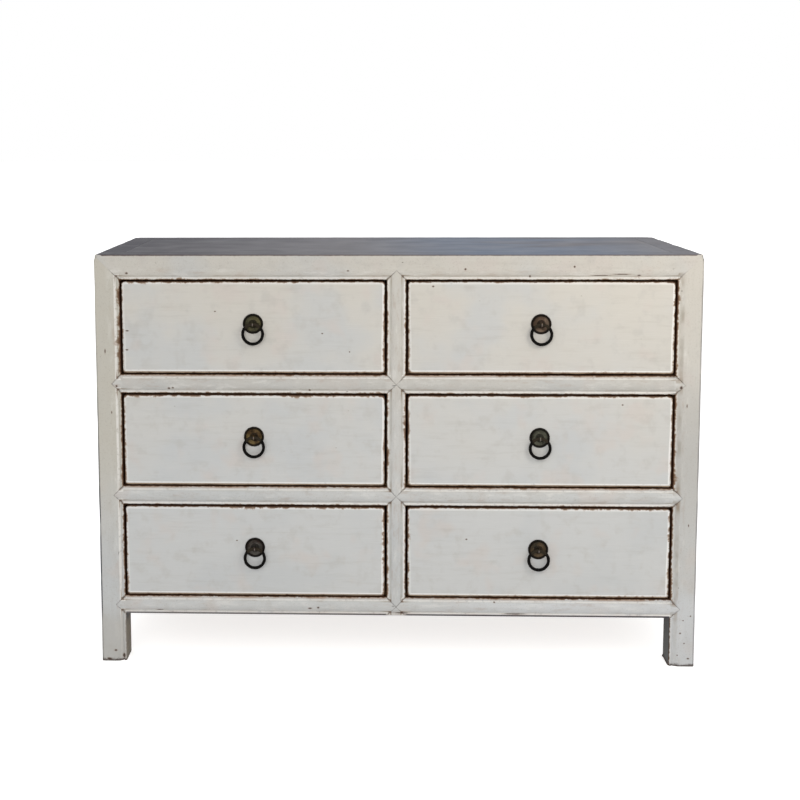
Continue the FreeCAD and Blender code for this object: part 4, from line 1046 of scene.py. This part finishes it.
def worn_at(place, seed, piece):
    """How far the paint is rubbed away near a gap, 0 to 1, on the case (piece 0) or a drawer (1)."""
    spot = (place.x, place.z)
    most = 0.0
    for across, edge, length, first, last, levels in STRETCHES:
        if abs(spot[across] - edge) < WORN_REACH:
            past = max(first - spot[length], spot[length] - last, 0.0)
            most = max(most, (1.0 - past / WORN_FADE) * levels[piece])
    slow = 0.5 + 1.3 * wavy(place, RUB_WAVE, seed)
    rubbed = 0.32 * slow * slow + most * (0.55 + 0.5 * wavy(place, RUB_SPOT, seed))
    return min(1.0, max(0.0, rubbed))


def near_edge(distance, depth):
    """1 at an edge, falling to 0 where chips no longer reach."""
    share = 1.0 - max(0.0, distance) / CHIP_REACH
    share *= 1.0 - max(0.0, depth) / CHIP_REACH
    return max(0.0, share) if distance < CHIP_REACH and depth < CHIP_REACH else 0.0


def case_wear(seed):
    """How the posts, rails and panels of the case have worn."""
    def wear(place, normal):
        start = place.copy()
        side = math.copysign(1.0, place.x)
        way = math.copysign(1.0, place.y)
        flank = (0, side, side * HALF_WIDTH)
        face = (1, way, BACK if way > 0 else FRONT)
        lid = (2, 1.0, TOP)
        place = round_edge(place, [flank, face], soft_radius(start, POST_WAVE, 3.0))
        place = round_edge(place, [face, lid], soft_radius(start, FRONT_WAVE, 9.0))
        place = round_edge(place, [flank, lid], soft_radius(start, SIDE_WAVE, 6.0))
        place = round_edge(place, [flank, face, lid], CORNER_BALL)
        bare = worn = 0.0
        rim = rim_of(start)
        if -EDGE_BLUR / 2 < rim < WORN_REACH and start.y < FRONT + POST / 2:
            worn = worn_at(start, seed, 0)
            near = near_edge(rim, start.y - FRONT)
            bare = near * chip(start, CASE_CHIP, seed, 0.4 - 0.15 * worn)
            waver = OPENING_WORN * (0.25 + 0.4 * worn + 0.4 * wavy(start, OPENING_WAVE, seed + 4.0))
            place -= normal * (near * waver + CHIP_DEPTH * bare)
        place -= normal * PLANE_WAVE * (0.5 + 0.5 * wavy(start, CASE_WAVE, seed + 8.0))
        foot = max(0.0, 1.0 - start.z / FOOT_SCUFF)
        if foot > 0:
            broken = foot * chip(start, FOOT_BREAK, seed + 2.0, 0.1)
            place += Vector((-side, -way, 0.0)) * broken * FOOT_CHIP
            bare = max(bare, broken)
        return place, bare, worn
    return wear


def drawer_wear(low, high, seed):
    """How a drawer front has worn: soft corners, a wandering arris and small broken places."""
    def wear(place, normal):
        start = place.copy()
        face = (1, -1.0, DRAWER_FACE)
        distances = []
        for axis in (0, 2):
            upper = start[axis] > (low[axis] + high[axis]) / 2
            way = 1.0 if upper else -1.0
            wall = high[axis] if upper else low[axis]
            distances.append((abs(wall - start[axis]), (axis, way, wall)))
        radius = DRAWER_SOFT + DRAWER_WORN * (0.5 + wavy(start, CORNER_WAVE, seed)) ** 2
        for distance, wall in distances:
            place = round_edge(place, [wall, face], radius)
        place = round_edge(place, [distances[0][1], distances[1][1]], DRAWER_CORNER)
        inward = min(distance for distance, wall in distances)
        bare = worn = 0.0
        if inward < WORN_REACH:
            worn = worn_at(start, seed, 1)
            near = near_edge(inward, start.y - DRAWER_FACE)
            bare = near * chip(start, DRAWER_CHIP, seed + 3.0, 0.42 - 0.15 * worn)
            waver = OPENING_WORN * (0.2 + 0.3 * worn + 0.35 * wavy(start, EDGE_WAVE, seed + 5.0))
            place -= normal * (near * waver + CHIP_DEPTH * bare)
        place -= normal * PLANE_WAVE * (0.5 + 0.5 * wavy(start, DRAWER_WAVE, seed + 8.0))
        return place, bare, worn
    return wear


def forged_wear(seed, amount, size):
    """The small unevenness of hammered or cast metal."""
    def wear(place, normal):
        return place + normal * amount * (wavy(place, size, seed) - 0.5), 0.0, 0.0
    return wear


def top_wear(seed):
    """A planed board top: long shallow waves, across the grain."""
    def wear(place, normal):
        long_way = Vector((place.x / BOARD_STRETCH, place.y, place.z))
        wave = 0.5 + 0.5 * wavy(long_way, BOARD_WAVE, seed)
        return place - normal * TOP_WAVE * wave, 0.0, 0.0
    return wear


def edge_rows(low, high):
    """Places a little in from both ends of a length, for finer faces along its edges."""
    inset = [row for row in EDGE_ROWS if row < (high - low) / 2]
    return [low + row for row in inset] + [high - row for row in inset]


def case_pieces():
    """Worn copies of the painted case, with the axis that each piece's grain runs along."""
    along = {}
    for side in SIDES:
        along[f"post_front_{side}"] = 2
        along[f"post_back_{side}"] = 2
        along[f"top_rail_{side}"] = 1
        along[f"bottom_rail_{side}"] = 1
        along[f"side_panel_{side}"] = 2
    for name in ["top_rail_front", "top_rail_back", "bottom_rail_back"]:
        along[name] = 0
    for level in ["bottom", "lower", "upper"]:
        along[f"front_rail_{level}"] = 0
    for name in ["front_muntins", "back_stile", "back_panels"]:
        along[name] = 2
    for index, (name, axis) in enumerate(sorted(along.items())):
        low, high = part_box(name)
        broad = name.startswith(("side_panel", "back_panels"))
        pitch = SLICE * 4 if broad else SLICE
        cuts = [(axis, even_places(low[axis], high[axis], pitch, index))]
        for other in range(3):
            if other != axis:
                cuts.append((other, edge_rows(low[other], high[other])))
        piece = worn_copy(name, f"worn_{name}", cuts, index * 1.37, case_wear(index * 2.1))
        piece.data.materials.append(CASE_PAINT[axis])


def top_piece():
    low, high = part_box("top_panel")
    lengthways = even_places(low.x, high.x, SLICE_TOP * 2, 1)
    cuts = [(0, lengthways), (1, even_places(low.y, high.y, SLICE_TOP, 2))]
    piece = worn_copy("top_panel", "worn_top_panel", cuts, 4.0, top_wear(4.0))
    piece.data.materials.append(TOP_STAIN)


def drawer_pieces():
    for index, drawer in enumerate(DRAWERS):
        low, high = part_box(f"{drawer}_front")
        cuts = [
            (0, even_places(low.x, high.x, SLICE, index) + edge_rows(low.x, high.x)),
            (2, even_places(low.z, high.z, SLICE, index + 9) + edge_rows(low.z, high.z)),
            (1, [low.y + row for row in EDGE_ROWS]),
        ]
        seed = 20 + index * 3.3
        wear = drawer_wear(low, high, seed)
        front = worn_copy(f"{drawer}_front", f"worn_{drawer}_front", cuts, seed, wear)
        front.data.materials.append(DRAWER_PAINT)
        wear = forged_wear(seed, PLATE_DENT, PLATE_WAVE)
        pull = worn_copy(f"{drawer}_pull", f"cast_{drawer}_pull", [], seed, wear)
        pull.data.materials.append(BRASS[drawer])
        wear = forged_wear(seed, RING_DENT, RING_WAVE)
        ring = worn_copy(f"{drawer}_ring", f"forged_{drawer}_ring", [], seed, wear)
        ring.data.materials.append(IRON_FINISH)


def inner_materials():
    """Bare wood on every CAD piece that stays as it is."""
    along = {"top_battens": 1, "drawer_bearers": 1, "drawer_guides": 1, "drawer_stops": 0}
    for drawer in DRAWERS:
        along[f"{drawer}_sides"] = 1
        along[f"{drawer}_back"] = 0
        along[f"{drawer}_bottom"] = 0
    for name, axis in along.items():
        piece = frame["nodes"][name]
        piece.data.materials.clear()
        piece.data.materials.append(BARE[axis])


def surroundings():
    """A pale floor that reaches to the horizon, where it meets the white world."""
    mesh = bmesh.new()
    corners = [(-FLOOR_HALF, -FLOOR_HALF), (FLOOR_HALF, -FLOOR_HALF),
               (FLOOR_HALF, FLOOR_HALF), (-FLOOR_HALF, FLOOR_HALF)]
    mesh.faces.new([mesh.verts.new((x, y, 0.0)) for x, y in corners])
    data = bpy.data.meshes.new("studio_floor")
    mesh.to_mesh(data)
    mesh.free()
    data.materials.append(plain_floor("floor_white", FLOOR_WHITE, FLOOR_SHINE))
    floor = bpy.data.objects.new("studio_floor", data)
    bpy.context.scene.collection.objects.link(floor)


def soft_light(name, place, aim, size, power, colour):
    light = bpy.data.lights.new(name, "AREA")
    light.size = size
    light.energy = power
    light.color = colour
    lamp = bpy.data.objects.new(name, light)
    lamp.location = place
    lamp.rotation_euler = (Vector(aim) - Vector(place)).to_track_quat("-Z", "Y").to_euler()
    bpy.context.scene.collection.objects.link(lamp)


def lighting():
    soft_light("key_light", KEY_PLACE, KEY_AIM, KEY_SIZE, KEY_POWER, KEY_COLOUR)
    soft_light("fill_light", FILL_PLACE, FILL_AIM, FILL_SIZE, FILL_POWER, FILL_COLOUR)
    world = bpy.data.worlds.new("studio")
    bpy.context.scene.world = world
    world.use_nodes = True
    graph = Graph(world.node_tree)
    background = graph.tree.nodes["Background"]
    background.inputs["Color"].default_value = (1.0, 1.0, 1.0, 1.0)
    graph.feed(background.inputs["Strength"], graph.seen_directly().between(WORLD_LEVEL, 1.0))


def camera():
    """The photograph's view from a little above, its frame moved off the optical middle by a shift."""
    data = bpy.data.cameras.new("camera")
    data.sensor_width = SENSOR
    data.lens = SENSOR * FOCAL_PIXELS / FRAME_PIXELS
    data.shift_x = (FRAME_PIXELS / 2 - MIDDLE_PIXELS[0]) / FRAME_PIXELS
    data.shift_y = (MIDDLE_PIXELS[1] - FRAME_PIXELS / 2) / FRAME_PIXELS
    yaw, pitch, roll = (math.radians(angle) for angle in CAMERA_TURNS)
    turn = Matrix.Rotation(-yaw, 3, "Z") @ Matrix.Rotation(math.pi / 2 + pitch, 3, "X")
    made = bpy.data.objects.new("camera", data)
    made.rotation_euler = (turn @ Matrix.Rotation(roll, 3, "Z")).to_euler()
    made.location = CAMERA_PLACE
    bpy.context.scene.collection.objects.link(made)
    bpy.context.scene.camera = made


STRETCHES = worn_stretches()
CASE_MARKS = [RAIL_MARK_SHARES, [], POST_MARK_SHARES]
CASE_PAINT = []
for index, axis in enumerate("xyz"):
    CASE_PAINT.append(painted_case(f"painted_case_{axis}", index, CASE_MARKS[index]))
DRAWER_PAINT = painted_drawer("painted_drawer", 0, DRAWER_MARK_SHARES)
BARE = [bare_wood(f"bare_wood_{axis}", index) for index, axis in enumerate("xyz")]
TOP_STAIN = stained_top("stained_top")
BRASS = {drawer: aged_brass(f"aged_brass_{drawer}", *PLATE_COLOURS[drawer]) for drawer in DRAWERS}
IRON_FINISH = dark_iron("dark_iron")

case_pieces()
top_piece()
drawer_pieces()
inner_materials()
surroundings()
lighting()
camera()
bpy.context.scene.view_settings.view_transform = "Standard"
